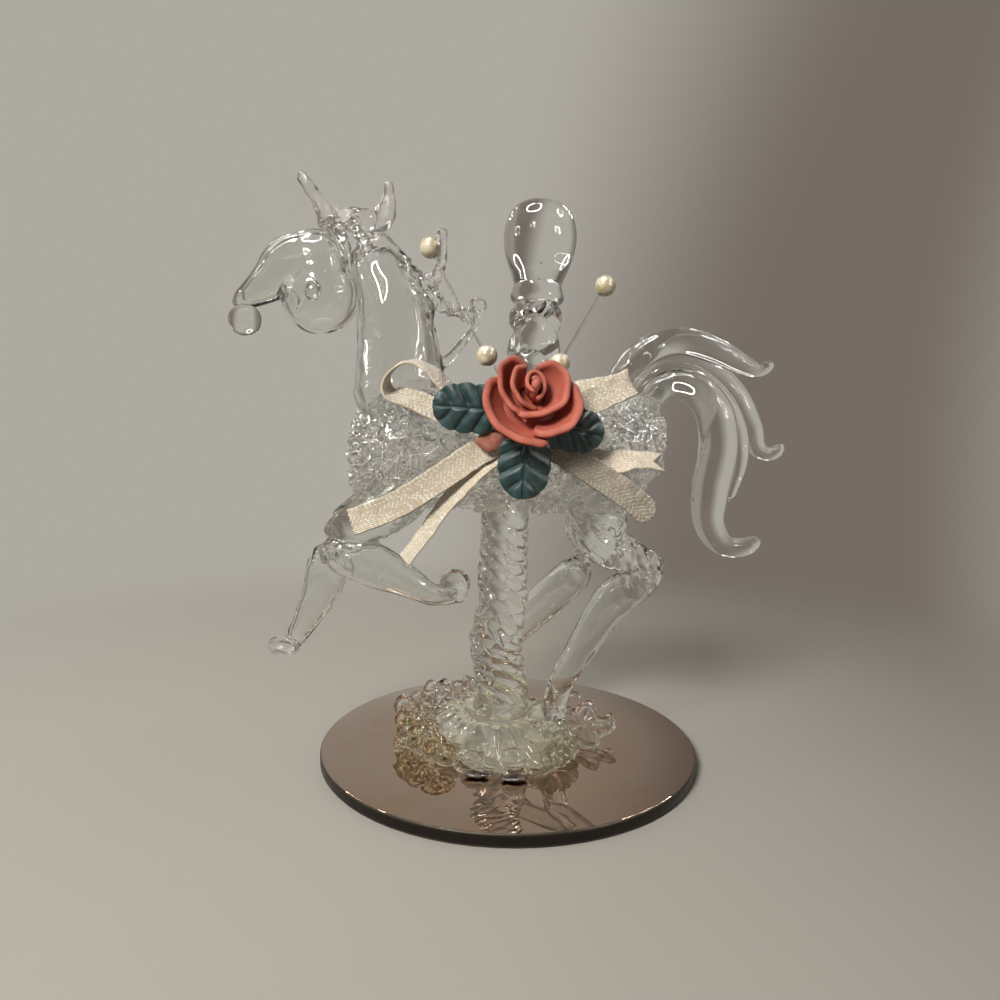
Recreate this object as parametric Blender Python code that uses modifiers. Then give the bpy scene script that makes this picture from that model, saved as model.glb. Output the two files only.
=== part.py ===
"""Flameworked glass carousel horse on a twisted glass pole, with a ribbon bow and a clay rose, on a
round bronze mirror.

Run with: blender --background --python part.py

Everything is in metres, +Z up. The origin is the centre of the mirror's underside. The horse faces -X
and its near side, which carries the bow, faces -Y. Each glass rod is drawn as its own solid, and stops
a seam short of what it is fused to.
"""

import math

import bmesh
import bpy
from mathutils import Matrix, Vector

# Clearances: between two pieces that are fused or glued, and between the layers of the mirror base
SEAM = 0.0003
LAYER_GAP = 0.00005

# Mirror base
MIRROR_DIAMETER = 0.0610
MIRROR_GLASS_THICKNESS = 0.0018
MIRROR_ARRIS = 0.0003
BACKING_THICKNESS = 0.00025
BACKING_MARGIN = 0.0004
MIRROR_TOP = BACKING_THICKNESS + LAYER_GAP + MIRROR_GLASS_THICKNESS
GLUE_PAD_RADIUS = 0.0092
GLUE_PAD_THICKNESS = 0.0005

# Fluted glass foot, round the pole
FOOT_CENTRE = Vector((-0.0016, 0.0015))
FOOT_RADIUS = 0.0116
FOOT_FRONT_REACH = 0.0044
FOOT_FRONT_ANGLE = math.radians(275)
FOOT_LOBES = 11
FOOT_LOBE_DEPTH = 0.0007
FOOT_HEIGHT = 0.0048
FOOT_RIM = 0.0011
FOOT_COLLAR_RADIUS = 0.0056
FOOT_BOTTOM = MIRROR_TOP + LAYER_GAP + GLUE_PAD_THICKNESS + LAYER_GAP
FOOT_TOP = FOOT_BOTTOM + FOOT_HEIGHT

# Curled glass thread that stands on the mirror round the left and back of the foot
SCROLL_THREAD = 0.0014
SCROLL_LOOP_RADIUS = 0.0021
SCROLL_LOOPS = 10
SCROLL_START = math.radians(92)
SCROLL_END = math.radians(226)
SCROLL_CLEARANCE = 0.0005

# Star leaf, curl and beads on the right of the foot
STAR_RADIUS = 0.0056
STAR_POINTS = 5
STAR_POINT_DEPTH = 0.0017
STAR_THICKNESS = 0.0012
STAR_HEIGHT = 0.0047
BEAD_RADIUS = 0.0017

# Twisted pole below the horse, twisted stub above it, and the pear finial
POLE_DIAMETER = 0.0080
POLE_LENGTH = 0.0317
POLE_STRANDS = 6
POLE_STRAND_DEPTH = 0.09
POLE_TURNS = 1.7
POLE_FOOT_POINT = Vector((-0.0019, 0.0))
POLE_HEAD_POINT = Vector((-0.0010, 0.0))
STUB_DIAMETER = 0.0086
STUB_STRANDS = 2
STUB_STRAND_DEPTH = 0.16
STUB_TURNS = 0.9
STUB_FOOT = Vector((0.0030, 0.0, 0.0170))
STUB_HEAD = Vector((0.0036, 0.0, 0.0338))
FINIAL_HEIGHT = 0.0160
FINIAL_RADIUS = 0.0058
FINIAL_NECK_RADIUS = 0.0038

# The horse stands on the pole, so its own frame starts on the belly line. Its routes are drawn in
# millimetres there, and this is one of them
HORSE_UNIT = 0.001
BELLY = Vector((0.0, 0.0, FOOT_TOP + SEAM + POLE_LENGTH))
BARREL_FLATNESS = 0.80
BARREL_SIDES = 30
BARREL_RINGS = 24
NUB_HEIGHT = 0.0009
NECK_FLATNESS = 0.74
HEAD_FLATNESS = 0.78
LEG_FLATNESS = 0.76
CHEEK_RADIUS = 0.0054
MUZZLE_RADIUS = 0.0027
EYE_RADIUS = 0.0009
HOOF_RADIUS = 0.0032
HOOF_THICKNESS = 0.0028
NEAR_HOOF_INSET = 0.0010
NEAR_HOOF_ANGLE = math.radians(-38)
NEAR_HOOF_RISE = 0.0028

# Distance between the rings of a drawn rod: on the neck and legs, on the tail and on the small curls
LIMB_STEP = 0.0028
TAIL_STEP = 0.0022
CURL_STEP = 0.0016

# Satin ribbon bow
RIBBON_WIDTH = 0.0040
RIBBON_THICKNESS = 0.0003
KNOT_CENTRE = Vector((0.0014, -0.0102, 0.0148))
KNOT_SIZE = Vector((0.0056, 0.0022, 0.0046))
GLUE_DAB_SIZE = Vector((0.0062, 0.0030, 0.0062))

# Clay rose and leaves, behind one another on the knot
LEAF_LENGTH = 0.0100
LEAF_WIDTH = 0.0076
LEAF_THICKNESS = 0.0007
LEAF_SCALLOPS = 5
LEAF_LAYER = -0.0126
ROSE_SINK = 0.0003
ROSE_BASE = Vector((0.0024, LEAF_LAYER - LEAF_THICKNESS / 2 + ROSE_SINK, 0.0166))
ROSE_TILT = math.radians(-15)
ROSE_CALYX_RADIUS = 0.0040
ROSE_CALYX_THICKNESS = 0.0008
PETAL_THICKNESS = 0.0005
BUD_RADIUS = 0.0014
BUD_HEIGHT = 0.0050

# Pearls threaded on clear filaments
PEARL_RADIUS = 0.00155
FILAMENT_DIAMETER = 0.00045
PEARL_BORE_CLEARANCE = 0.0001


def clear_scene():
    for old in list(bpy.data.objects):
        bpy.data.objects.remove(old)


def collection(name):
    made = bpy.data.collections.new(name)
    bpy.context.scene.collection.children.link(made)
    return made


def finish(name, colour, roughness, metallic=0.0, transmission=0.0):
    """A Principled material."""
    made = bpy.data.materials.new(name)
    made.use_nodes = True
    shader = made.node_tree.nodes["Principled BSDF"]
    shader.inputs["Base Color"].default_value = (*colour, 1.0)
    shader.inputs["Roughness"].default_value = roughness
    shader.inputs["Metallic"].default_value = metallic
    shader.inputs["Transmission Weight"].default_value = transmission
    return made


clear_scene()
PARTS = collection("carousel_horse_figurine")
HELPERS = collection("cutters")
CLEAR_GLASS = finish("clear_glass", (0.93, 0.94, 0.93), 0.03, transmission=1.0)
SPUN_GLASS = finish("spun_glass", (0.90, 0.91, 0.90), 0.10, transmission=1.0)
BRONZE_GLASS = finish("bronze_mirror_glass", (0.36, 0.26, 0.20), 0.03, metallic=0.9)
MIRROR_PAINT = finish("mirror_backing_paint", (0.08, 0.06, 0.05), 0.6)
GLUE = finish("aged_glue", (0.86, 0.84, 0.62), 0.25, transmission=0.6)
SATIN = finish("satin_ribbon", (0.86, 0.72, 0.58), 0.45)
ROSE_CLAY = finish("rose_clay", (0.72, 0.20, 0.14), 0.55)
LEAF_CLAY = finish("leaf_clay", (0.05, 0.11, 0.12), 0.45)
PEARL = finish("pearl", (0.86, 0.82, 0.68), 0.2)
FILAMENT = finish("clear_filament", (0.92, 0.92, 0.90), 0.15)


def place(name, mesh, material, into=None):
    """Puts a mesh in the scene as one object, with its faces turned outwards and its seams welded."""
    shape = bmesh.new()
    shape.from_mesh(mesh)
    bmesh.ops.remove_doubles(shape, verts=shape.verts, dist=1e-6)
    bmesh.ops.recalc_face_normals(shape, faces=shape.faces)
    shape.to_mesh(mesh)
    shape.free()
    mesh.materials.clear()
    mesh.materials.append(material)
    mesh.shade_smooth()
    mesh.set_sharp_from_angle(angle=math.radians(50))
    made = bpy.data.objects.new(name, mesh)
    (into or PARTS).objects.link(made)
    return made


def as_mesh(maker, name, material, into=None):
    """Turns a curve, or an object with modifiers, into a plain mesh object with its place in its points."""
    if not maker.users_collection:
        HELPERS.objects.link(maker)
    bpy.context.view_layer.update()
    graph = bpy.context.evaluated_depsgraph_get()
    mesh = bpy.data.meshes.new_from_object(maker.evaluated_get(graph))
    mesh.transform(maker.matrix_world)
    bpy.data.objects.remove(maker)
    return place(name, mesh, material, into)


def from_bmesh(shape, name, material, into=None):
    mesh = bpy.data.meshes.new(name)
    shape.to_mesh(mesh)
    shape.free()
    return place(name, mesh, material, into)


def helper(thing):
    """Keeps a cutter or a guide out of the model."""
    thing.hide_render = True
    thing.display_type = "WIRE"
    for home in list(thing.users_collection):
        home.objects.unlink(thing)
    HELPERS.objects.link(thing)
    return thing


def boolean(target, other, operation):
    made = target.modifiers.new(operation.lower() + "_" + other.name, "BOOLEAN")
    made.operation = operation
    made.object = other
    made.solver = "EXACT"


def seat(target, *neighbours, gap=SEAM):
    """Cuts a piece back from each neighbour, grown by the seam, so that the two meet without touching.
    A neighbour that is already a room for one is used as it is."""
    for neighbour in neighbours:
        if neighbour.name in HELPERS.objects:
            boolean(target, neighbour, "DIFFERENCE")
            continue
        cutter = bpy.data.objects.new(f"room_for_{neighbour.name}", neighbour.data)
        HELPERS.objects.link(cutter)
        helper(cutter)
        grow = cutter.modifiers.new("seam", "DISPLACE")
        grow.mid_level = 0.0
        grow.strength = gap
        boolean(target, cutter, "DIFFERENCE")
    return target


def bake(target):
    """Applies what a piece has so far, so that the next piece is seated on its true shape."""
    bpy.context.view_layer.update()
    graph = bpy.context.evaluated_depsgraph_get()
    mesh = bpy.data.meshes.new_from_object(target.evaluated_get(graph))
    target.modifiers.clear()
    target.data = mesh
    return target


def between(a, b, share):
    return tuple(p + (q - p) * share for p, q in zip(a, b))


def smooth_line(stations, steps=10):
    """A Catmull-Rom line through the stations, which are (x, y, z, radius) in any one unit."""
    line = []
    last = len(stations) - 1
    for i in range(last):
        before, here = stations[max(i - 1, 0)], stations[i]
        there, after = stations[i + 1], stations[min(i + 2, last)]
        for step in range(steps):
            t = step / steps
            line.append(tuple(
                0.5 * (2 * b + (c - a) * t + (2 * a - 5 * b + 4 * c - d) * t * t
                       + (3 * b - a - 3 * c + d) * t ** 3)
                for a, b, c, d in zip(before, here, there, after)
            ))
    line.append(tuple(stations[-1]))
    return line


def along(line, distance):
    """The point and radius at a distance along a line."""
    walked = 0.0
    for here, there in zip(line, line[1:]):
        step = math.dist(here[:3], there[:3])
        if walked + step >= distance and step > 0:
            return between(here, there, (distance - walked) / step)
        walked += step
    return line[-1]


def domed(line, spacing, round_start, round_end):
    """Evenly spaced stations of a rod, drawn in to a dome at each rounded end."""
    length = sum(math.dist(a[:3], b[:3]) for a, b in zip(line, line[1:]))
    first, final = line[0][3], line[-1][3]
    dome_steps = [math.radians(angle) for angle in (14, 38, 64)]
    stations = []
    if round_start:
        for angle in dome_steps:
            x, y, z, _ = along(line, first * (1 - math.cos(angle)))
            stations.append((x, y, z, first * math.sin(angle)))
    begin = first if round_start else 0.0
    stop = length - (final if round_end else 0.0)
    count = max(2, round((stop - begin) / spacing) + 1)
    stations += [along(line, begin + (stop - begin) * i / (count - 1)) for i in range(count)]
    if round_end:
        for angle in reversed(dome_steps):
            x, y, z, _ = along(line, length - final * (1 - math.cos(angle)))
            stations.append((x, y, z, final * math.sin(angle)))
    return stations


def rod(name, stations, material=CLEAR_GLASS, sides=10, spacing=TAIL_STEP, flatness=1.0,
        round_start=True, round_end=True):
    """A drawn glass rod: a bevelled curve through the stations, flattened across the horse."""
    line = smooth_line(stations)
    data = bpy.data.curves.new(name, "CURVE")
    data.dimensions = "3D"
    data.bevel_depth = 1.0
    data.bevel_resolution = (sides - 4) // 2
    data.use_fill_caps = True
    spline = data.splines.new("POLY")
    points = domed(line, spacing, round_start, round_end)
    spline.points.add(len(points) - 1)
    for point, (x, y, z, radius) in zip(spline.points, points):
        point.co = (x, y / flatness, z, 1.0)
        point.radius = radius
    maker = bpy.data.objects.new(name, data)
    maker.scale = (1.0, flatness, 1.0)
    return as_mesh(maker, name, material)


def on_horse(*stations):
    """Stations given in millimetres from the belly line, as places in metres."""
    return [
        (BELLY.x + x * HORSE_UNIT, BELLY.y + y * HORSE_UNIT, BELLY.z + z * HORSE_UNIT, radius * HORSE_UNIT)
        for x, y, z, radius in stations
    ]


def ball(name, centre, size, material=CLEAR_GLASS, segments=16, rings=10, turn=Matrix()):
    """An ellipsoid with the given half sizes."""
    shape = bmesh.new()
    matrix = Matrix.Translation(centre) @ turn @ Matrix.Diagonal((*size, 1.0))
    bmesh.ops.create_uvsphere(shape, u_segments=segments, v_segments=rings, radius=1.0, matrix=matrix)
    return from_bmesh(shape, name, material)


def disc(name, radius, low, high, material, segments=72, arris=0.0, centre=(0.0, 0.0)):
    """A flat round plate with its edges broken by the arris."""
    shape = bmesh.new()
    matrix = Matrix.Translation((*centre, (low + high) / 2))
    bmesh.ops.create_cone(shape, cap_ends=True, segments=segments, radius1=radius, radius2=radius,
                          depth=high - low, matrix=matrix)
    if arris:
        rims = [e for e in shape.edges if abs(e.verts[0].co.z - e.verts[1].co.z) < 1e-7]
        bmesh.ops.bevel(shape, geom=rims, offset=arris, segments=1, affect="EDGES")
    return from_bmesh(shape, name, material)


def make_mirror():
    disc("mirror_backing", MIRROR_DIAMETER / 2 - BACKING_MARGIN, 0.0, BACKING_THICKNESS, MIRROR_PAINT,
         segments=64)
    disc("mirror_glass", MIRROR_DIAMETER / 2, BACKING_THICKNESS + LAYER_GAP, MIRROR_TOP, BRONZE_GLASS,
         arris=MIRROR_ARRIS)
    disc("base_glue_pad", GLUE_PAD_RADIUS, MIRROR_TOP + LAYER_GAP, FOOT_BOTTOM - LAYER_GAP, GLUE,
         segments=24, centre=FOOT_CENTRE)


def foot_edge(angle):
    """Radius of the foot's scalloped outline, which runs out towards the front."""
    reach = FOOT_FRONT_REACH * max(0.0, math.cos(angle - FOOT_FRONT_ANGLE)) ** 5
    return FOOT_RADIUS + reach + FOOT_LOBE_DEPTH * math.cos(FOOT_LOBES * angle)


def make_foot():
    """The fluted skirt of glass that was run down round the pole."""
    sides = FOOT_LOBES * 4
    rings = ((0.0, 1.0), (0.34, 0.72), (0.62, 0.44), (0.85, 0.30), (1.0, 0.16))
    shape = bmesh.new()
    bmesh.ops.create_cone(shape, cap_ends=True, segments=sides, radius1=1.0, radius2=1.0, depth=1.0)
    bmesh.ops.subdivide_edges(
        shape, edges=[e for e in shape.edges if abs(e.verts[0].co.z - e.verts[1].co.z) > 0.5],
        cuts=len(rings) - 1, use_grid_fill=True)
    rim = FOOT_RIM / FOOT_HEIGHT
    for vert in shape.verts:
        level = round((0.5 - vert.co.z) * len(rings))
        angle = math.atan2(vert.co.y, vert.co.x)
        edge = foot_edge(angle)
        if level < len(rings):
            share, height = rings[level]
            radius = FOOT_COLLAR_RADIUS + (edge - FOOT_COLLAR_RADIUS) * share
            flute = 1.0 + 0.16 * math.cos(FOOT_LOBES * angle) * math.sin(math.pi * min(share + 0.2, 1.0))
            height = rim + (1.0 - rim) * height * (flute if share else 1.0)
            height = min(height, 1.0) if share < 1.0 else rim + 0.12
        else:
            radius, height = edge - FOOT_RIM * 0.6, 0.0
        vert.co = (FOOT_CENTRE.x + radius * math.cos(angle), FOOT_CENTRE.y + radius * math.sin(angle),
                   FOOT_BOTTOM + FOOT_HEIGHT * height)
    return from_bmesh(shape, "base_foot", CLEAR_GLASS)


def make_scroll():
    """One unbroken thread that coils round a ring outside the foot. Prints its least gap to itself."""
    thread = SCROLL_THREAD / 2
    ring = FOOT_RADIUS + FOOT_LOBE_DEPTH + SCROLL_CLEARANCE + SCROLL_LOOP_RADIUS + thread
    middle = MIRROR_TOP + SEAM + thread + SCROLL_LOOP_RADIUS
    points_per_loop = 10
    count = SCROLL_LOOPS * points_per_loop
    stations = []
    for i in range(count + 1):
        turn = 2 * math.pi * i / points_per_loop
        angle = SCROLL_START + (SCROLL_END - SCROLL_START) * i / count
        radius = ring + SCROLL_LOOP_RADIUS * math.cos(turn)
        stations.append((
            FOOT_CENTRE.x + radius * math.cos(angle), FOOT_CENTRE.y + radius * math.sin(angle),
            middle + SCROLL_LOOP_RADIUS * math.sin(turn), thread))
    gap = min(
        math.dist(a[:3], b[:3]) - SCROLL_THREAD
        for i, a in enumerate(stations) for b in stations[i + points_per_loop // 2:])
    print(f"base_scroll: least gap to itself {gap * 1000:.2f} mm")
    data = bpy.data.curves.new("base_scroll", "CURVE")
    data.dimensions = "3D"
    data.bevel_depth = thread
    data.bevel_resolution = 1
    data.use_fill_caps = True
    spline = data.splines.new("POLY")
    spline.points.add(count)
    for point, (x, y, z, _) in zip(spline.points, stations):
        point.co = (x, y, z, 1.0)
    return as_mesh(bpy.data.objects.new("base_scroll", data), "base_scroll", CLEAR_GLASS)


def make_star_leaf(foot, hoof):
    """The flat star of glass that lies on the right flank of the foot."""
    centre = FOOT_CENTRE + Vector((FOOT_RADIUS + 0.0008, -0.0004))
    outline = bpy.data.curves.new("base_star_leaf", "CURVE")
    outline.dimensions = "2D"
    outline.fill_mode = "BOTH"
    outline.extrude = STAR_THICKNESS / 2
    spline = outline.splines.new("POLY")
    count = STAR_POINTS * 8
    spline.points.add(count - 1)
    spline.use_cyclic_u = True
    for i, point in enumerate(spline.points):
        angle = 2 * math.pi * i / count
        radius = STAR_RADIUS + STAR_POINT_DEPTH * math.cos(STAR_POINTS * angle)
        point.co = (radius * math.cos(angle), radius * math.sin(angle), 0.0, 1.0)
    maker = bpy.data.objects.new("base_star_leaf", outline)
    maker.location = (*centre, STAR_HEIGHT + STAR_THICKNESS / 2)
    leaf = as_mesh(maker, "base_star_leaf", CLEAR_GLASS)
    return seat(leaf, foot, hoof)


def make_beads(foot):
    """A short run of glass beads, fused to one another at the front right of the foot."""
    low = MIRROR_TOP + SEAM + BEAD_RADIUS
    beads = []
    for i, (degrees, beyond) in enumerate(((296, 0.0049), (305, 0.0044), (314, 0.0038))):
        angle = math.radians(degrees)
        radius = FOOT_RADIUS + beyond
        centre = (FOOT_CENTRE.x + radius * math.cos(angle), FOOT_CENTRE.y + radius * math.sin(angle), low)
        size = (BEAD_RADIUS,) * 3
        beads.append(ball(f"bead_{i}" if i else "base_beads", centre, size, segments=12, rings=8))
    for other in beads[1:]:
        boolean(beads[0], helper(other), "UNION")
    return seat(bake(beads[0]), foot)


def twisted_bar(name, foot, head, diameter, strands, depth, turns, rings, swell=()):
    """A bar of lobed section that turns as it rises. swell is its relative width from foot to head."""
    outline = bpy.data.curves.new(name + "_section", "CURVE")
    outline.dimensions = "2D"
    section = outline.splines.new("POLY")
    sides = max(strands * 4, 16)
    section.points.add(sides - 1)
    section.use_cyclic_u = True
    for i, point in enumerate(section.points):
        angle = 2 * math.pi * i / sides
        radius = diameter / 2 * (1 - depth * (1 - math.cos(strands * angle)))
        point.co = (radius * math.cos(angle), radius * math.sin(angle), 0.0, 1.0)
    guide = bpy.data.objects.new(name + "_section", outline)
    helper(guide)
    data = bpy.data.curves.new(name, "CURVE")
    data.dimensions = "3D"
    data.bevel_mode = "OBJECT"
    data.bevel_object = guide
    data.use_fill_caps = True
    path = data.splines.new("POLY")
    path.points.add(rings)
    for i, point in enumerate(path.points):
        share = i / rings
        point.co = (*foot.lerp(head, share), 1.0)
        point.tilt = -2 * math.pi * turns * share
        if swell:
            where = share * (len(swell) - 1)
            first = min(int(where), len(swell) - 2)
            point.radius = swell[first] + (swell[first + 1] - swell[first]) * (where - first)
    return as_mesh(bpy.data.objects.new(name, data), name, CLEAR_GLASS)


def make_pole(barrel):
    foot = Vector((*POLE_FOOT_POINT, FOOT_TOP + SEAM))
    head = Vector((*POLE_HEAD_POINT, BELLY.z + 0.004))
    pole = twisted_bar("pole_below_horse", foot, head, POLE_DIAMETER, POLE_STRANDS, POLE_STRAND_DEPTH,
                       POLE_TURNS, 18, swell=(1.12, 1.06, 1.0, 1.0, 0.97))
    seat(pole, barrel)
    stub = twisted_bar("pole_above_horse", BELLY + STUB_FOOT, BELLY + STUB_HEAD, STUB_DIAMETER,
                       STUB_STRANDS, STUB_STRAND_DEPTH, STUB_TURNS, 16,
                       swell=(0.95, 1.0, 1.08, 0.92, 1.05, 0.88))
    return pole, seat(stub, barrel)


def make_finial():
    """The pear-shaped ball on top of the pole, turned about the stub's own axis."""
    profile = (
        (0.0, 1.0), (0.36, 0.985), (0.68, 0.93), (0.90, 0.82), (1.0, 0.66), (0.96, 0.50), (0.82, 0.33),
        (0.66, 0.19), (0.70, 0.08), (0.60, 0.0), (0.0, 0.0),
    )
    mesh = bpy.data.meshes.new("finial")
    shape = bmesh.new()
    verts = []
    for share, height in profile:
        radius = share * FINIAL_RADIUS
        if 0.0 < share and height < 0.5:
            radius = FINIAL_NECK_RADIUS + (share - 0.66) / 0.34 * (FINIAL_RADIUS - FINIAL_NECK_RADIUS)
        verts.append(shape.verts.new((radius, 0.0, FINIAL_HEIGHT * height)))
    for a, b in zip(verts, verts[1:]):
        shape.edges.new((a, b))
    shape.to_mesh(mesh)
    shape.free()
    maker = bpy.data.objects.new("finial", mesh)
    turn = maker.modifiers.new("turn", "SCREW")
    turn.steps = turn.render_steps = 20
    turn.use_merge_vertices = True
    turn.merge_threshold = 0.00001
    axis = (STUB_HEAD - STUB_FOOT).normalized()
    maker.rotation_euler = axis.to_track_quat("Z", "Y").to_euler()
    maker.location = BELLY + STUB_HEAD + axis * SEAM
    return as_mesh(maker, "pole_finial", CLEAR_GLASS)


def barrel_shape(name, nub, grow, sides, rings, into=None):
    """The egg of the body. nub is the height of the loops that stand up from it, in rows."""
    side_view = [(x * HORSE_UNIT, z * HORSE_UNIT, r * HORSE_UNIT, 0.0) for x, z, r in (
        (-26.0, 9.0, 0.4), (-25.2, 9.0, 5.4), (-22.0, 9.6, 8.8), (-14.0, 10.2, 10.1), (-4.0, 10.0, 10.0),
        (6.0, 10.0, 10.0), (14.0, 10.5, 10.3), (20.0, 11.2, 8.8), (23.4, 12.2, 5.4), (24.4, 12.6, 0.4))]
    line = smooth_line(side_view)
    middle = sum(station[0] for station in line) / len(line)
    shape = bmesh.new()
    bmesh.ops.create_uvsphere(shape, u_segments=sides, v_segments=rings, radius=1.0)
    for vert in shape.verts:
        latitude = math.acos(max(-1.0, min(1.0, vert.co.z)))
        ring = round(latitude / math.pi * rings)
        around = math.atan2(vert.co.y, vert.co.x)
        column = round(around / (2 * math.pi) * sides)
        share = 0.5 - 0.5 * math.cos(math.pi * (0.12 + 0.76 * ring / rings))
        share = (share - 0.035) / 0.93
        x, z, radius, _ = line[max(0, min(len(line) - 1, round(share * (len(line) - 1))))]
        at_pole = ring in (0, rings)
        radius += nub * ((ring + column) % 2 - 0.5) + grow
        radius = 0.0 if at_pole else radius
        x += grow * (x - middle) / 0.025
        vert.co = BELLY + Vector((x, BARREL_FLATNESS * radius * math.sin(around),
                                  z + radius * math.cos(around)))
    return from_bmesh(shape, name, SPUN_GLASS, into)


def make_barrel():
    """The spun body, and a smooth copy one seam larger that its neighbours are cut back from."""
    barrel = barrel_shape("horse_barrel", NUB_HEIGHT, 0.0, BARREL_SIDES, BARREL_RINGS)
    room = barrel_shape("barrel_room", 0.0, NUB_HEIGHT / 2 + SEAM * 1.3, 24, 20, HELPERS)
    helper(room)
    return barrel, room


def make_neck_and_head(barrel):
    neck = rod("horse_neck", on_horse(
        (-24.6, 0, 45.2, 2.2), (-22.4, 0, 41.6, 4.2), (-19.4, 0, 34.5, 5.9), (-18.4, 0, 27.5, 6.4),
        (-18.0, 0, 20.6, 7.2), (-16.8, 0, 13.0, 7.6)), sides=14, spacing=LIMB_STEP, flatness=NECK_FLATNESS)
    bake(seat(neck, barrel))
    cheek_place = BELLY + Vector((-29.8, 0, 33.9)) * HORSE_UNIT
    cheek = ball("cheek", cheek_place, (CHEEK_RADIUS, CHEEK_RADIUS * HEAD_FLATNESS, CHEEK_RADIUS),
                 segments=14, rings=10)
    head = rod("horse_head", on_horse(
        (-26.0, 0, 41.2, 3.6), (-29.6, 0, 38.6, 6.9), (-35.0, 0, 37.6, 5.5), (-39.6, 0, 35.8, 3.4),
        (-43.2, 0, 34.0, 2.3), (-45.2, 0, 32.9, 1.4)), sides=14, spacing=TAIL_STEP,
        flatness=HEAD_FLATNESS)
    boolean(head, helper(cheek), "UNION")
    bake(seat(head, neck))
    muzzle_place = BELLY + Vector((-42.2, 0, 30.9)) * HORSE_UNIT
    muzzle = ball("horse_muzzle", muzzle_place, (MUZZLE_RADIUS,) * 3, segments=14, rings=10)
    seat(muzzle, head)
    for side, name in ((-1, "near"), (1, "far")):
        place_of_eye = BELLY + Vector((-31.0, side * 5.2, 34.4)) * HORSE_UNIT
        eye = ball(f"horse_eye_{name}", place_of_eye, (EYE_RADIUS * 1.3, EYE_RADIUS, EYE_RADIUS * 1.3),
                   segments=10, rings=6)
        seat(eye, head)
    return neck, head


def make_poll(neck, head):
    """The bridge of glass on the poll, the two pricked ears that rise from it, and the forelock drop."""
    crest = rod("horse_poll", on_horse(
        (-28.4, -0.4, 44.8, 1.9), (-26.4, 0, 46.0, 2.0), (-24.0, 0.6, 46.0, 1.9), (-22.6, 0.8, 46.8, 1.6)),
        sides=10, spacing=CURL_STEP)
    bake(seat(crest, neck, head))
    ear_near = rod("horse_ear_near", on_horse(
        (-28.2, -0.8, 44.6, 1.5), (-30.2, -2.0, 47.6, 1.4), (-31.9, -2.5, 50.3, 1.1),
        (-33.6, -2.6, 53.0, 0.8)), sides=8, spacing=CURL_STEP)
    seat(ear_near, crest, neck, head)
    ear_far = rod("horse_ear_far", on_horse(
        (-23.4, 0.8, 46.4, 1.5), (-21.6, 1.8, 48.4, 1.7), (-20.4, 2.0, 50.6, 1.3), (-19.8, 2.0, 53.0, 0.8)),
        sides=8, spacing=CURL_STEP)
    seat(ear_far, crest, neck)
    forelock = rod("horse_forelock", on_horse(
        (-25.4, -2.2, 45.0, 1.5), (-24.0, -4.2, 42.4, 1.5), (-22.6, -5.0, 39.6, 1.1)),
        sides=8, spacing=CURL_STEP)
    seat(forelock, crest, neck, head)


def make_mane(neck, barrel):
    """Three pulled curls on the crest of the neck. The lowest runs back up to the second."""
    upper = rod("mane_curl_upper", on_horse(
        (-16.5, 0, 36.6, 1.5), (-13.4, 0, 37.0, 1.2), (-11.8, 0, 39.6, 0.9), (-11.3, 0, 42.6, 0.8),
        (-11.6, 0, 45.2, 0.9)), sides=8, spacing=CURL_STEP)
    bake(seat(upper, neck))
    middle = rod("mane_curl_middle", on_horse(
        (-15.0, 0, 32.6, 1.5), (-11.6, 0, 33.6, 1.1), (-8.4, 0, 32.4, 0.9), (-6.4, 0, 32.6, 1.1),
        (-5.3, 0, 34.8, 1.5)), sides=8, spacing=CURL_STEP)
    bake(seat(middle, neck, upper))
    lower = rod("mane_curl_lower", on_horse(
        (-14.0, 0, 22.4, 1.2), (-10.6, 0, 24.6, 1.0), (-8.2, 0, 27.4, 0.8), (-6.2, 0, 30.2, 0.8),
        (-6.2, 0, 32.0, 0.8)), sides=8, spacing=CURL_STEP)
    seat(lower, neck, barrel, middle)


def hoof(name, centre, along_leg, *neighbours):
    """A pad of glass pressed on across the end of a leg."""
    turn = along_leg.to_track_quat("Z", "Y").to_matrix().to_4x4()
    size = (HOOF_RADIUS, HOOF_RADIUS * 0.85, HOOF_THICKNESS / 2)
    made = ball(name, centre, size, segments=14, rings=8, turn=turn)
    return seat(made, *neighbours)


def make_forelegs(barrel):
    thigh = dict(sides=10, spacing=LIMB_STEP, flatness=LEG_FLATNESS)
    near_arm = rod("foreleg_near_upper", on_horse(
        (-15.0, -3.4, 7.0, 4.4), (-18.4, -4.0, 2.4, 4.2), (-23.4, -4.3, -0.8, 3.5), (-29.4, -4.4, -4.0, 2.3)),
        **thigh)
    bake(seat(near_arm, barrel))
    near_shin = rod("foreleg_near_lower", on_horse(
        (-30.4, -4.6, -4.6, 2.0), (-26.0, -4.8, -6.0, 2.7), (-20.4, -4.9, -9.0, 2.9), (-15.4, -5.0, -11.3, 2.3),
        (-11.4, -5.0, -11.6, 2.0), (-8.9, -5.0, -9.9, 2.7)), **thigh)
    seat(near_shin, near_arm)
    far_arm = rod("foreleg_far_upper", on_horse(
        (-15.4, 3.4, 7.0, 4.4), (-18.8, 3.9, 1.4, 4.2), (-24.4, 4.0, -1.6, 3.6), (-30.4, 4.0, -4.9, 2.6)),
        **thigh)
    bake(seat(far_arm, barrel, near_arm))
    far_shin = rod("foreleg_far_lower", on_horse(
        (-30.9, 3.8, -5.4, 2.9), (-32.2, 3.6, -9.9, 3.1), (-34.4, 3.5, -15.9, 2.4), (-36.8, 3.5, -21.0, 1.8)),
        **thigh)
    bake(seat(far_shin, far_arm))
    direction = Vector((-0.45, 0.0, -1.0))
    hoof("foreleg_far_hoof", BELLY + Vector((-37.7, 3.5, -22.7)) * HORSE_UNIT, direction, far_shin)


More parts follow.
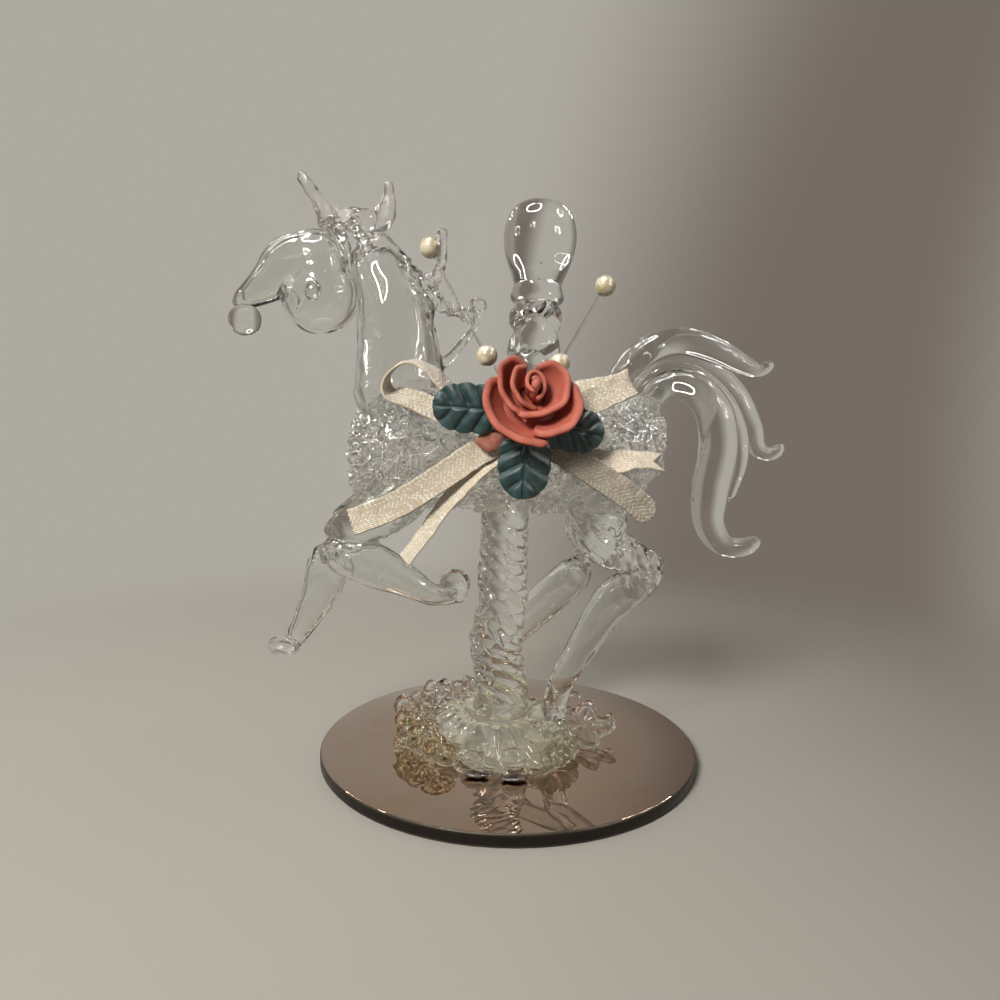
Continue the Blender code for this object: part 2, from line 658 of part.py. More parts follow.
def make_hindlegs(barrel, foot):
    """The near leg comes down on the foot of the pole. The far leg swings forward behind the pole."""
    leg = dict(sides=10, spacing=LIMB_STEP, flatness=LEG_FLATNESS)
    near_thigh = rod("hindleg_near_upper", on_horse(
        (12.4, -3.4, 9.6, 6.4), (14.6, -4.6, 4.4, 6.4), (16.6, -4.9, -1.6, 5.2), (20.6, -5.0, -6.4, 3.4),
        (24.6, -5.0, -7.6, 1.7)), **leg)
    bake(seat(near_thigh, barrel))
    reach = FOOT_RADIUS - NEAR_HOOF_INSET
    stand = Vector((FOOT_CENTRE.x + reach * math.cos(NEAR_HOOF_ANGLE),
                    FOOT_CENTRE.y + reach * math.sin(NEAR_HOOF_ANGLE), FOOT_BOTTOM + NEAR_HOOF_RISE))
    ankle = (stand + Vector((0.0, 0.0, HOOF_THICKNESS / 2)) - BELLY) / HORSE_UNIT
    near_shank = rod("hindleg_near_lower", on_horse(
        (24.6, -5.0, -7.8, 1.6), (19.6, -4.8, -11.4, 3.6), (14.6, -4.6, -16.4, 3.5), (10.0, -4.7, -24.8, 3.0),
        (*ankle, 2.3)), **leg)
    bake(seat(near_shank, near_thigh))
    near_hoof = hoof("hindleg_near_hoof", stand, Vector((0.0, 0.0, -1.0)), near_shank, foot)
    bake(near_hoof)
    far_thigh = rod("hindleg_far_upper", on_horse(
        (13.0, 3.4, 9.6, 6.2), (15.2, 4.6, 4.0, 6.2), (14.4, 5.0, -3.0, 5.0), (13.2, 5.0, -8.4, 3.4)), **leg)
    bake(seat(far_thigh, barrel, near_thigh))
    far_shank = rod("hindleg_far_lower", on_horse(
        (13.4, 5.0, -8.4, 3.0), (9.2, 6.2, -13.6, 4.0), (4.2, 7.6, -19.4, 3.6), (-0.9, 8.2, -25.4, 2.4)), **leg)
    seat(far_shank, far_thigh)
    return near_hoof


def make_tail(barrel):
    """Four rods fanned out from the croup, each flicked out at its tip."""
    great = rod("tail_great_curl", on_horse(
        (20.2, -3.0, 16.4, 1.7), (23.4, -3.2, 20.8, 2.0), (27.6, -3.4, 20.9, 2.5), (31.4, -3.6, 17.4, 2.9),
        (32.5, -3.6, 11.2, 3.0), (31.4, -3.6, 4.6, 2.9), (31.6, -3.6, -0.9, 2.4), (34.0, -3.6, -4.1, 1.8),
        (37.3, -3.6, -4.5, 1.5), (39.8, -3.6, -3.1, 1.1)))
    bake(seat(great, barrel))
    inner = rod("tail_inner_curl", on_horse(
        (19.6, 0.8, 17.6, 1.7), (23.4, 1.2, 22.4, 2.1), (29.2, 1.6, 22.6, 2.3), (34.6, 1.8, 18.6, 2.1),
        (37.5, 1.8, 12.8, 1.8), (37.7, 1.6, 7.6, 1.2), (36.0, 0.8, 2.6, 0.8)), sides=8)
    bake(seat(inner, barrel, great))
    outer = rod("tail_outer_curl", on_horse(
        (16.4, 4.4, 17.4, 1.8), (19.8, 5.0, 23.6, 2.3), (24.6, 5.6, 25.8, 2.7), (31.0, 6.0, 25.0, 2.7),
        (37.2, 6.0, 20.8, 2.5), (40.8, 5.8, 15.2, 2.1), (42.4, 5.6, 11.2, 1.5), (44.8, 5.4, 10.2, 1.1),
        (46.6, 5.4, 11.8, 0.9)), sides=10)
    bake(seat(outer, barrel, great, inner))
    top = rod("tail_top_curl", on_horse(
        (15.4, 0.2, 18.6, 1.8), (18.8, 0.4, 24.2, 2.2), (22.8, 0.6, 27.4, 2.3), (27.4, 0.8, 28.4, 2.2),
        (33.2, 1.0, 27.0, 2.1), (38.2, 1.4, 24.6, 1.6), (40.8, 1.6, 24.0, 1.1), (42.8, 1.6, 25.4, 0.8)),
        sides=8)
    seat(top, barrel, great, inner, outer)


def strip(name, stations, *neighbours):
    """A length of ribbon. Each station is x, y, z in millimetres from the belly line and the angle, in
    degrees, by which the ribbon is turned from facing the viewer to lying edge on."""
    line = smooth_line(stations, steps=4)
    shape = bmesh.new()
    rows = []
    for i, (x, y, z, turned) in enumerate(line):
        here = Vector((x, y, z))
        step = Vector(line[min(i + 1, len(line) - 1)][:3]) - Vector(line[max(i - 1, 0)][:3])
        across = Vector((-step.z, 0.0, step.x)).normalized()
        turn = math.radians(turned)
        across = across * math.cos(turn) + Vector((0.0, 1.0, 0.0)) * math.sin(turn)
        across -= step.normalized() * across.dot(step.normalized())
        across.normalize()
        centre = BELLY + here * HORSE_UNIT
        rows.append([shape.verts.new(centre + across * RIBBON_WIDTH * share) for share in (-0.5, 0.0, 0.5)])
    for here, there in zip(rows, rows[1:]):
        for j in range(2):
            shape.faces.new((here[j], here[j + 1], there[j + 1], there[j]))
    mesh = bpy.data.meshes.new(name)
    shape.to_mesh(mesh)
    shape.free()
    maker = bpy.data.objects.new(name, mesh)
    body = maker.modifiers.new("cloth", "SOLIDIFY")
    body.thickness = RIBBON_THICKNESS
    body.offset = 0.0
    made = as_mesh(maker, name, SATIN)
    return seat(made, *neighbours)


def make_bow(barrel):
    """The knot, the glue behind it, two loops and four tails, which leave the knot in layers."""
    knot = ball("ribbon_knot", BELLY + KNOT_CENTRE, KNOT_SIZE / 2, SATIN, segments=14, rings=8)
    dab_place = BELLY + Vector((KNOT_CENTRE.x, KNOT_CENTRE.y + KNOT_SIZE.y / 2, KNOT_CENTRE.z))
    dab = ball("bow_glue_dab", dab_place, GLUE_DAB_SIZE / 2, GLUE, segments=12, rings=8)
    bake(seat(dab, barrel, knot))
    holders = (barrel, knot, dab)
    strip("ribbon_loop_left", (
        (0.3, -9.5, 17.8, 70), (-4.0, -9.3, 19.8, 84), (-9.5, -9.4, 22.3, 88), (-14.6, -9.7, 23.7, 84),
        (-18.0, -10.0, 22.2, 76), (-18.8, -10.2, 19.6, 50), (-15.8, -10.5, 17.6, 20), (-10.4, -10.6, 16.6, 6),
        (-4.6, -10.6, 15.6, 4), (-1.0, -10.6, 15.0, 4)), *holders)
    strip("ribbon_loop_right", (
        (2.0, -10.7, 17.2, 6), (6.6, -10.8, 19.4, 4), (11.8, -10.8, 21.4, 8), (15.8, -10.6, 22.2, 28),
        (17.9, -9.9, 21.6, 55), (17.6, -8.9, 20.4, 42), (14.6, -8.5, 18.8, 22), (10.6, -8.8, 17.0, 8),
        (6.4, -9.5, 15.6, 6), (2.4, -9.8, 14.6, 6)), *holders)
    strip("ribbon_tail_left_wide", (
        (0.0, -10.1, 12.8, 4), (-5.0, -10.2, 10.6, 4), (-10.6, -10.4, 6.8, 6), (-17.6, -10.3, 2.4, 4),
        (-25.4, -9.9, -0.8, 2)), *holders)
    strip("ribbon_tail_left_narrow", (
        (-0.4, -9.2, 12.4, 6), (-3.8, -9.2, 8.6, 10), (-8.4, -8.7, 3.4, 34), (-12.8, -8.9, -1.6, 60),
        (-16.4, -9.6, -6.0, 62)), *holders)
    strip("ribbon_tail_right_wide", (
        (1.6, -10.45, 13.4, 4), (6.4, -10.45, 10.8, 4), (11.6, -10.8, 7.6, 6), (16.8, -11.4, 4.2, 4),
        (20.4, -11.8, 1.0, 2)), *holders)
    strip("ribbon_tail_right_narrow", (
        (3.2, -9.1, 12.9, 4), (7.6, -9.1, 10.4, 6), (13.2, -9.3, 8.8, 20), (18.2, -9.4, 9.4, 50),
        (22.4, -9.4, 9.0, 54)), *holders)
    return knot, dab


def make_leaf(name, base, heading, *neighbours):
    """A scalloped clay leaf, grooved along its veins. heading is its direction as seen from the front."""
    rows, columns = 10, 6
    shape = bmesh.new()
    grid = []
    for i in range(rows + 1):
        length = i / rows
        half = LEAF_WIDTH / 2 * math.sin(math.pi * (0.06 + 0.94 * length)) ** 0.65
        half *= 1 + 0.07 * math.cos(2 * math.pi * LEAF_SCALLOPS * length)
        row = []
        for j in range(columns + 1):
            side = 2 * j / columns - 1
            vein = 0.00022 * math.cos(2 * math.pi * (LEAF_SCALLOPS * length - 1.6 * abs(side)))
            rise = vein * (1 - side * side) - 0.0006 * side * side - 0.0003 * length * length
            row.append(shape.verts.new((side * half, -rise, LEAF_LENGTH * length)))
        grid.append(row)
    for here, there in zip(grid, grid[1:]):
        for j in range(columns):
            shape.faces.new((here[j], here[j + 1], there[j + 1], there[j]))
    mesh = bpy.data.meshes.new(name)
    shape.to_mesh(mesh)
    shape.free()
    maker = bpy.data.objects.new(name, mesh)
    body = maker.modifiers.new("clay", "SOLIDIFY")
    body.thickness = LEAF_THICKNESS
    body.offset = 0.0
    maker.location = BELLY + Vector((base[0] * HORSE_UNIT, LEAF_LAYER, base[1] * HORSE_UNIT))
    maker.rotation_euler = (0.0, math.radians(heading), 0.0)
    return seat(as_mesh(maker, name, LEAF_CLAY), *neighbours)


def rose_point(radius, angle, height):
    """A point in the rose's own frame, whose axis looks out of the bow and a little upwards."""
    local = Vector((radius * math.cos(angle), -height, radius * math.sin(angle)))
    return BELLY + ROSE_BASE + Matrix.Rotation(ROSE_TILT, 3, "X") @ local


def petal(name, start, span, base, top, height, roll, *neighbours):
    """One petal: a cupped sheet from a base radius to a top radius, whose lip rolls back. top holds its
    radius at the start and at the end of its way round."""
    columns, rows = 10, 4
    shape = bmesh.new()
    grid = []
    for i in range(rows + 1):
        rise = i / rows
        row = []
        for j in range(columns + 1):
            share = j / columns
            edge = math.sin(math.pi * share) ** 0.5 if 0 < j < columns else 0.0
            lip = top[0] + (top[1] - top[0]) * share
            out = base + (lip - base) * math.sin(rise * math.pi / 2) ** 1.4 + roll * rise ** 4
            angle = math.radians(start + span * share)
            up = ROSE_CALYX_THICKNESS + SEAM * 2 + height * rise * (0.66 + 0.34 * edge)
            row.append(shape.verts.new(rose_point(out, angle, up)))
        grid.append(row)
    for here, there in zip(grid, grid[1:]):
        for j in range(columns):
            shape.faces.new((here[j], here[j + 1], there[j + 1], there[j]))
    mesh = bpy.data.meshes.new(name)
    shape.to_mesh(mesh)
    shape.free()
    maker = bpy.data.objects.new(name, mesh)
    body = maker.modifiers.new("clay", "SOLIDIFY")
    body.thickness = PETAL_THICKNESS
    body.offset = 0.0
    return seat(as_mesh(maker, name, ROSE_CLAY), *neighbours)


def make_rose(leaves):
    """The rolled bud on its calyx, two petals closed round it and three open ones."""
    calyx = ball("calyx", rose_point(0.0, 0.0, ROSE_CALYX_THICKNESS / 2),
                 (ROSE_CALYX_RADIUS, ROSE_CALYX_THICKNESS / 2, ROSE_CALYX_RADIUS), ROSE_CLAY,
                 segments=16, rings=6, turn=Matrix.Rotation(ROSE_TILT, 4, "X"))
    low = ROSE_CALYX_THICKNESS / 2
    bud = rod("rose_bud", [
        (*rose_point(0.0, 0.0, low), BUD_RADIUS * 0.8),
        (*rose_point(0.0, 0.0, low + BUD_HEIGHT * 0.5), BUD_RADIUS),
        (*rose_point(0.0002, 1.0, low + BUD_HEIGHT), BUD_RADIUS * 0.8)], ROSE_CLAY, sides=10)
    boolean(bud, helper(calyx), "UNION")
    bake(seat(bud, *leaves))
    layer = (PETAL_THICKNESS + SEAM) * 1.05
    inner = BUD_RADIUS + SEAM + PETAL_THICKNESS / 2
    petals = (
        ("rose_petal_inner", 60, 190, inner, (0.0026, 0.0026), 0.0052, 0.0001),
        ("rose_petal_right", 85, -235, inner + layer, (0.0040, 0.0037), 0.0049, 0.0004),
        ("rose_petal_upper_left", 95, 130, inner + 2 * layer, (0.0050, 0.0048), 0.0053, 0.0003),
        ("rose_petal_lower_right", 22, -124, inner + 2 * layer, (0.0062, 0.0050), 0.0044, 0.0007),
        ("rose_petal_lower_left", 152, 136, inner + 3 * layer, (0.0066, 0.0063), 0.0042, 0.0006),
    )
    for name, start, span, base, top, height, roll in petals:
        petal(name, start, span, base, top, height, roll, bud, *leaves)


def make_sprays(knot, dab, barrel):
    """Two clear filaments that rise from the knot, each with two pearls threaded on it."""
    routes = {
        "left": ((1.6, -9.6, 17.4), (-4.4, -9.9, 24.5), (-12.9, -8.0, 40.2)),
        "right": ((3.0, -10.0, 17.2), (6.4, -9.0, 23.6), (13.3, -7.0, 35.4)),
    }
    radius = FILAMENT_DIAMETER / 2
    for side, route in routes.items():
        stations = on_horse(*((*point, radius / HORSE_UNIT) for point in route))
        filament = rod(f"filament_{side}", stations, FILAMENT, sides=6, spacing=LIMB_STEP,
                       round_start=False, round_end=False)
        seat(filament, knot, dab, barrel)
        bake(filament)
        for place_name, point in (("lower", stations[1]), ("upper", stations[2])):
            pearl = ball(f"pearl_{side}_{place_name}", point[:3], (PEARL_RADIUS,) * 3, PEARL,
                         segments=12, rings=8)
            seat(pearl, filament, gap=PEARL_BORE_CLEARANCE)


def main():
    make_mirror()
    foot = make_foot()
    make_scroll()
    make_beads(foot)
    _, barrel = make_barrel()
    make_pole(barrel)
    make_finial()
    neck, head = make_neck_and_head(barrel)
    make_poll(neck, head)
    make_mane(neck, barrel)
    make_forelegs(barrel)
    near_hoof = make_hindlegs(barrel, foot)
    make_star_leaf(foot, near_hoof)
    make_tail(barrel)
    knot, dab = make_bow(barrel)
    leaves = [
        make_leaf("leaf_left", (-2.4, 16.4), -83, knot),
        make_leaf("leaf_lower", (1.6, 13.4), 181, knot),
        make_leaf("leaf_right", (4.6, 14.8), 96, knot),
    ]
    make_rose(leaves)
    make_sprays(knot, dab, barrel)


main()
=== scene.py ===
"""Looks of the flameworked glass carousel horse: clear and spun glass on a round bronze mirror, with a
satin bow, a clay rose and two sprays of pearls.

Everything is in metres, +Z up. The horse faces -X and its near side looks along -Y. Routes of the horse
are drawn in millimetres from the belly line.
"""

import math
import random

import bmesh
import bpy
import numpy as np
from bpy.props import FloatProperty, FloatVectorProperty, IntProperty, PointerProperty
from mathutils import Matrix, Vector


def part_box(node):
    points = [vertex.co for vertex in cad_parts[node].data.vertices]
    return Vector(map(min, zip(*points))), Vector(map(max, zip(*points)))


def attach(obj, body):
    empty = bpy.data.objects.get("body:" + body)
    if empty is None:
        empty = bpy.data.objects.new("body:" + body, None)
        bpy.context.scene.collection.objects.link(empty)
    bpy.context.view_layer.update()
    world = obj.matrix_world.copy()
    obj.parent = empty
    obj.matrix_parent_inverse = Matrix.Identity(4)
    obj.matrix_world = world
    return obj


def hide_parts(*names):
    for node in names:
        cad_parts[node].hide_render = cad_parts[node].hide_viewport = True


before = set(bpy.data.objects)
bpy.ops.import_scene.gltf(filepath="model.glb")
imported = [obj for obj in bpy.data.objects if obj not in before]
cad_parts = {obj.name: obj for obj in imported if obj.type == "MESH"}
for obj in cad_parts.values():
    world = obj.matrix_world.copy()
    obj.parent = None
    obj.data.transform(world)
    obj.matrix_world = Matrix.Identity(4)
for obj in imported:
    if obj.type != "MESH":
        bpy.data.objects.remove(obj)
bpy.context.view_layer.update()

bl_info = {
    "name": "Glass Carousel Horse",
    "version": (1, 0, 0),
    "blender": (4, 5, 0),
    "location": "3D View > Sidebar > Glass Horse",
    "description": "Builds a flameworked glass carousel horse on a bronze mirror, piece by piece",
    "category": "Object",
}

MM = 0.001
BELLY = Vector((0.0, 0.0, 0.0395))
MIRROR_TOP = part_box("mirror_glass")[1].z
FOOT_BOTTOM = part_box("base_foot")[0].z
FOOT_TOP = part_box("base_foot")[1].z
FOOT_CENTRE = Vector((-0.0016, 0.0015))
FOOT_RADIUS = 0.0116
FOOT_LOBES = 11
FOOT_WAVE = 0.0007
MIRROR_GAP = 0.0003
# Depth of the body, neck, limbs and their hollows, as a share of their height
BODY_DEPTH = 0.80
NECK_DEPTH = 0.74
LIMB_DEPTH = 0.76
CORE_DEPTH = 0.70
FOLD_THREAD = 0.00036
BLOWN_WALL = 0.95
PEARL_RADIUS = 0.00158
RIBBON_THICKNESS = 0.00024
LEAF_THICKNESS = 0.0007
ROLL_THICKNESS = 0.00062
ROSE_BASE = Vector((1.95, -12.65, 16.6))
ROSE_TILT = Matrix.Rotation(math.radians(-15), 3, "X")
CAMERA_PLACE = (-0.00633, -0.12061, 0.05270)
# Yaw, pitch and roll in degrees
CAMERA_TURNS = (2.15, 5.12, 0.79)
CAMERA_LENS = 26.84
LAMP_AIM = Vector((0.0, 0.0, 0.055))
FLOOR_HEIGHT = -0.00002


def srgb(red, green, blue):
    """A colour picked in display values from 0 to 255, as the shader wants it."""
    def linear(value):
        value /= 255
        return value / 12.92 if value <= 0.04045 else ((value + 0.055) / 1.055) ** 2.4
    return (linear(red), linear(green), linear(blue))


# Settings that a user would change

class StageSettings(bpy.types.PropertyGroup):
    floor_colour: FloatVectorProperty(
        name="Floor colour", description="Colour of the paper sweep that the figurine stands on",
        subtype="COLOR", size=3, min=0, max=1, default=srgb(184, 179, 170))
    lamp_power: FloatProperty(
        name="Lamp strength", description="Light given off by the ring lamps", default=24.0, min=0)
    room_light: FloatProperty(
        name="Room light", description="Strength of the even light of the room", default=1.0, min=0)


class MirrorSettings(bpy.types.PropertyGroup):
    tint: FloatVectorProperty(
        name="Mirror tint", description="Colour of the bronze mirror", subtype="COLOR", size=3,
        min=0, max=1, default=(0.47, 0.30, 0.195))


class GlassSettings(bpy.types.PropertyGroup):
    fuse_size: FloatProperty(
        name="Fusing detail", description="Smallest shape that survives where rods are melted together",
        default=0.00024, min=0.0001, subtype="DISTANCE", unit="LENGTH")
    melt_rounds: IntProperty(
        name="Melting", description="How often a fused piece is smoothed", default=14, min=0)
    thread_radius: FloatProperty(
        name="Thread radius", description="Radius of the drawn thread that the body is spun from",
        default=0.00034, min=0.0001, subtype="DISTANCE", unit="LENGTH")
    loop_radius: FloatProperty(
        name="Loop radius", description="Radius of the loops that the thread is laid in",
        default=0.00120, min=0.0003, subtype="DISTANCE", unit="LENGTH")
    curls: IntProperty(
        name="Curls", description="How many curls of thread the body is spun from", default=1000, min=50)


class BowSettings(bpy.types.PropertyGroup):
    ribbon_width: FloatProperty(
        name="Ribbon width", description="Width of the satin ribbon", default=0.0040, min=0.001,
        subtype="DISTANCE", unit="LENGTH")
    ribbon_colour: FloatVectorProperty(
        name="Ribbon colour", description="Colour of the satin", subtype="COLOR", size=3, min=0, max=1,
        default=srgb(255, 250, 236))
    rose_colour: FloatVectorProperty(
        name="Rose colour", description="Colour of the rose's clay", subtype="COLOR", size=3, min=0,
        max=1, default=srgb(198, 113, 93))
    leaf_colour: FloatVectorProperty(
        name="Leaf colour", description="Colour of the leaves' clay", subtype="COLOR", size=3, min=0,
        max=1, default=srgb(46, 73, 73))
    pearl_colour: FloatVectorProperty(
        name="Pearl colour", description="Colour of the pearls", subtype="COLOR", size=3, min=0, max=1,
        default=srgb(222, 211, 182))


def settings():
    return bpy.context.scene.glass_horse


# Node helpers

def link(tree, source, target):
    tree.links.new(source, target)


def value_node(tree, kind, inputs=(), **settings_of_node):
    """Adds a node, sets its plain attributes, then sets or links each input."""
    node = tree.nodes.new(kind)
    for key, value in settings_of_node.items():
        setattr(node, key, value)
    for key, value in dict(inputs).items():
        if isinstance(value, bpy.types.NodeSocket):
            tree.links.new(value, node.inputs[key])
        else:
            node.inputs[key].default_value = value
    return node


def maths(tree, operation, first, second=0.0):
    return value_node(tree, "ShaderNodeMath", {0: first, 1: second}, operation=operation).outputs[0]


def times(tree, first, second):
    return maths(tree, "MULTIPLY", first, second)


def ramp(tree, factor, low, high, low_out=0.0, high_out=1.0):
    node = value_node(tree, "ShaderNodeMapRange", {
        "Value": factor, "From Min": low, "From Max": high, "To Min": low_out, "To Max": high_out})
    node.interpolation_type = "SMOOTHSTEP"
    return node.outputs["Result"]


def blend_colours(tree, factor, first, second):
    node = value_node(tree, "ShaderNodeMix", data_type="RGBA")
    for index, value in ((0, factor), (6, first), (7, second)):
        if isinstance(value, bpy.types.NodeSocket):
            tree.links.new(value, node.inputs[index])
        else:
            node.inputs[index].default_value = value if index == 0 else (*value[:3], 1.0)
    return node.outputs[2]


def new_group(name, inputs, outputs):
    """An empty node group with its sockets. inputs and outputs are (name, kind, default)."""
    group = bpy.data.node_groups.new(name, "ShaderNodeTree")
    for direction, sockets in (("INPUT", inputs), ("OUTPUT", outputs)):
        for socket_name, kind, default in sockets:
            socket = group.interface.new_socket(
                name=socket_name, in_out=direction, socket_type="NodeSocket" + kind)
            if default is not None:
                socket.default_value = default
    return group, group.nodes.new("NodeGroupInput"), group.nodes.new("NodeGroupOutput")


def place_group(tree, group, inputs):
    return value_node(tree, "ShaderNodeGroup", inputs, node_tree=group)


def object_place(tree):
    return tree.nodes.new("ShaderNodeTexCoord").outputs["Object"]


def noise_node(tree, place, scale, detail=3.0, roughness=0.5, distortion=0.0):
    return value_node(tree, "ShaderNodeTexNoise", {
        "Vector": place, "Scale": scale, "Detail": detail, "Roughness": roughness,
        "Distortion": distortion})


def hand_drawn_group():
    """Faint tint changes, haze and ripples that a flame leaves on drawn glass."""
    group, into, out = new_group(
        "hand_drawn_glass",
        (("Ripple Scale", "Float", 260.0), ("Haze", "Float", 0.02), ("Clear Tint", "Color", (1, 1, 1, 1)),
         ("Deep Tint", "Color", (0.97, 0.98, 0.96, 1))),
        (("Tint", "Color", None), ("Roughness", "Float", None), ("Height", "Float", None)))
    place = object_place(group)
    ripple = noise_node(group, place, into.outputs["Ripple Scale"], detail=1.0, distortion=0.6)
    haze = noise_node(group, place, 420.0, detail=5.0, roughness=0.65)
    patches = ramp(group, haze.outputs["Fac"], 0.56, 0.78)
    link(group, times(group, patches, into.outputs["Haze"]), out.inputs["Roughness"])
    tone = noise_node(group, place, 90.0, detail=2.0)
    shade = ramp(group, tone.outputs["Fac"], 0.35, 0.65)
    link(group, blend_colours(group, shade, into.outputs["Clear Tint"], into.outputs["Deep Tint"]),
         out.inputs["Tint"])
    link(group, ripple.outputs["Fac"], out.inputs["Height"])
    return group


def mottle_group():
    """Soft patches and a fine tooth, for clay, glue, paint and pearl."""
    group, into, out = new_group(
        "mottled_skin",
        (("Patch Scale", "Float", 300.0), ("Tooth Scale", "Float", 2600.0),
         ("Low Colour", "Color", (0.3, 0.3, 0.3, 1)), ("High Colour", "Color", (0.6, 0.6, 0.6, 1)),
         ("Low Roughness", "Float", 0.4), ("High Roughness", "Float", 0.7)),
        (("Colour", "Color", None), ("Roughness", "Float", None), ("Height", "Float", None)))
    place = object_place(group)
    patches = noise_node(group, place, into.outputs["Patch Scale"], detail=4.0, roughness=0.6)
    tooth = noise_node(group, place, into.outputs["Tooth Scale"], detail=3.0, roughness=0.6)
    share = ramp(group, patches.outputs["Fac"], 0.36, 0.66)
    link(group, blend_colours(group, share, into.outputs["Low Colour"], into.outputs["High Colour"]),
         out.inputs["Colour"])
    gloss = value_node(group, "ShaderNodeMapRange", {
        "Value": share, "To Min": into.outputs["Low Roughness"], "To Max": into.outputs["High Roughness"]})
    link(group, gloss.outputs["Result"], out.inputs["Roughness"])
    link(group, tooth.outputs["Fac"], out.inputs["Height"])
    return group


def shared_group(name, maker):
    found = bpy.data.node_groups.get(name)
    return found if found else maker()


def blank_material(name, **plain):
    """A material with its Principled shader, whose plain sockets are set here."""
    made = bpy.data.materials.new(name)
    made.use_nodes = True
    tree = made.node_tree
    shader = tree.nodes["Principled BSDF"]
    for key, value in plain.items():
        shader.inputs[key.replace("_", " ")].default_value = value
    return made, tree, shader


def bump(tree, shader, height, strength, distance):
    node = value_node(tree, "ShaderNodeBump", {
        "Height": height, "Strength": strength, "Distance": distance})
    link(tree, node.outputs["Normal"], shader.inputs["Normal"])


def tinted(colour, factors):
    return tuple(c * f for c, f in zip(colour, factors))


def mottled(tree, shader, scales, low, high, gloss):
    """Mottled skin on a shader, from the scales of its patches and tooth, two colours and its
    range of roughness."""
    skin = place_group(tree, shared_group("mottled_skin", mottle_group), {
        "Patch Scale": scales[0], "Tooth Scale": scales[1], "Low Colour": (*low, 1),
        "High Colour": (*high, 1), "Low Roughness": gloss[0], "High Roughness": gloss[1]})
    link(tree, skin.outputs["Colour"], shader.inputs["Base Color"])
    link(tree, skin.outputs["Roughness"], shader.inputs["Roughness"])
    return skin


def mottled_material(name, scales, low, high, gloss, strength, depth, **plain):
    made, tree, shader = blank_material(name, **plain)
    skin = mottled(tree, shader, scales, low, high, gloss)
    bump(tree, shader, skin.outputs["Height"], strength, depth)
    return made


def glass_material(name, haze=0.02, ripple=260.0, depth=0.00002, clear=(1, 1, 1),
                   deep=(0.96, 0.975, 0.955), shade=(0.93, 0.93, 0.92), **plain):
    """Clear drawn glass. A shadow ray goes straight through it, dimmed at each surface."""
    found = bpy.data.materials.get(name)
    if found:
        return found
    made, tree, shader = blank_material(name, **{"Transmission_Weight": 1.0, "IOR": 1.47, **plain})
    skin = place_group(tree, shared_group("hand_drawn_glass", hand_drawn_group), {
        "Ripple Scale": ripple, "Haze": haze, "Clear Tint": (*clear, 1), "Deep Tint": (*deep, 1)})
    link(tree, skin.outputs["Tint"], shader.inputs["Base Color"])
    link(tree, skin.outputs["Roughness"], shader.inputs["Roughness"])
    bump(tree, shader, skin.outputs["Height"], 0.5, depth)
    lets = value_node(tree, "ShaderNodeBsdfTransparent", {"Color": (*shade, 1)})
    path = tree.nodes.new("ShaderNodeLightPath")
    mix = value_node(tree, "ShaderNodeMixShader", {
        0: path.outputs["Is Shadow Ray"], 1: shader.outputs[0], 2: lets.outputs[0]})
    link(tree, mix.outputs[0], tree.nodes["Material Output"].inputs["Surface"])
    return made


def spun_glass():
    """Fire-polished thread: its bright skin catches the lamps in short glints."""
    return glass_material("spun_glass_thread", haze=0.03, ripple=700.0, depth=0.00003,
                          deep=(0.99, 0.985, 0.965), Coat_Weight=1.0, Coat_IOR=2.2, Coat_Roughness=0.11)


def base_glass():
    return glass_material("base_glass", ripple=420.0, depth=0.00003, deep=(0.93, 0.92, 0.84))


def foot_glass():
    """Glass gone slightly milky over its yellowed glue."""
    return glass_material("foot_glass", ripple=420.0, depth=0.00003, clear=(1.0, 0.99, 0.93),
                          deep=(0.97, 0.94, 0.78), Transmission_Weight=0.96)


def amber_glass():
    """Base glass with an amber tint in front that fades to clear at the back: partly the glass's own gold
    tint, partly a painted reflection of the bronze mirror.
    """
    made = glass_material("amber_base_glass", ripple=420.0, depth=0.00003, clear=(0.95, 0.91, 0.76),
                          deep=(0.66, 0.53, 0.31), shade=(0.85, 0.80, 0.68))
    tree = made.node_tree
    base = tree.nodes["Principled BSDF"].inputs["Base Color"]
    tint = base.links[0].from_socket
    # The amber in front is partly a painted reflection of the bronze mirror; from Y 0.010 back the glass is
    # clear.
    depth = value_node(tree, "ShaderNodeSeparateXYZ", {0: object_place(tree)}).outputs["Y"]
    back = ramp(tree, depth, -0.004, 0.010)
    link(tree, blend_colours(tree, back, tint, (0.97, 0.97, 0.94)), base)
    return made


# Shape helpers

def smooth_line(stations, steps=16):
    """A Catmull-Rom line through the stations, which hold any number of values each."""
    table = np.array(stations, dtype=float)
    last = len(table) - 1
    t = (np.arange(steps) / steps)[:, None]
    rows = []
    for i in range(last):
        a, b = table[max(i - 1, 0)], table[i]
        c, d = table[i + 1], table[min(i + 2, last)]
        rows.append(0.5 * (2 * b + (c - a) * t + (2 * a - 5 * b + 4 * c - d) * t * t
                           + (3 * b - a - 3 * c + d) * t ** 3))
    rows.append(table[-1:])
    return np.vstack(rows)


def measured(line):
    """Distance walked at each point of a line."""
    steps = np.linalg.norm(np.diff(line[:, :3], axis=0), axis=1)
    return np.concatenate(([0.0], np.cumsum(steps)))


def resample(line, where):
    walked = measured(line)
    return np.column_stack([np.interp(where, walked, column) for column in line.T])


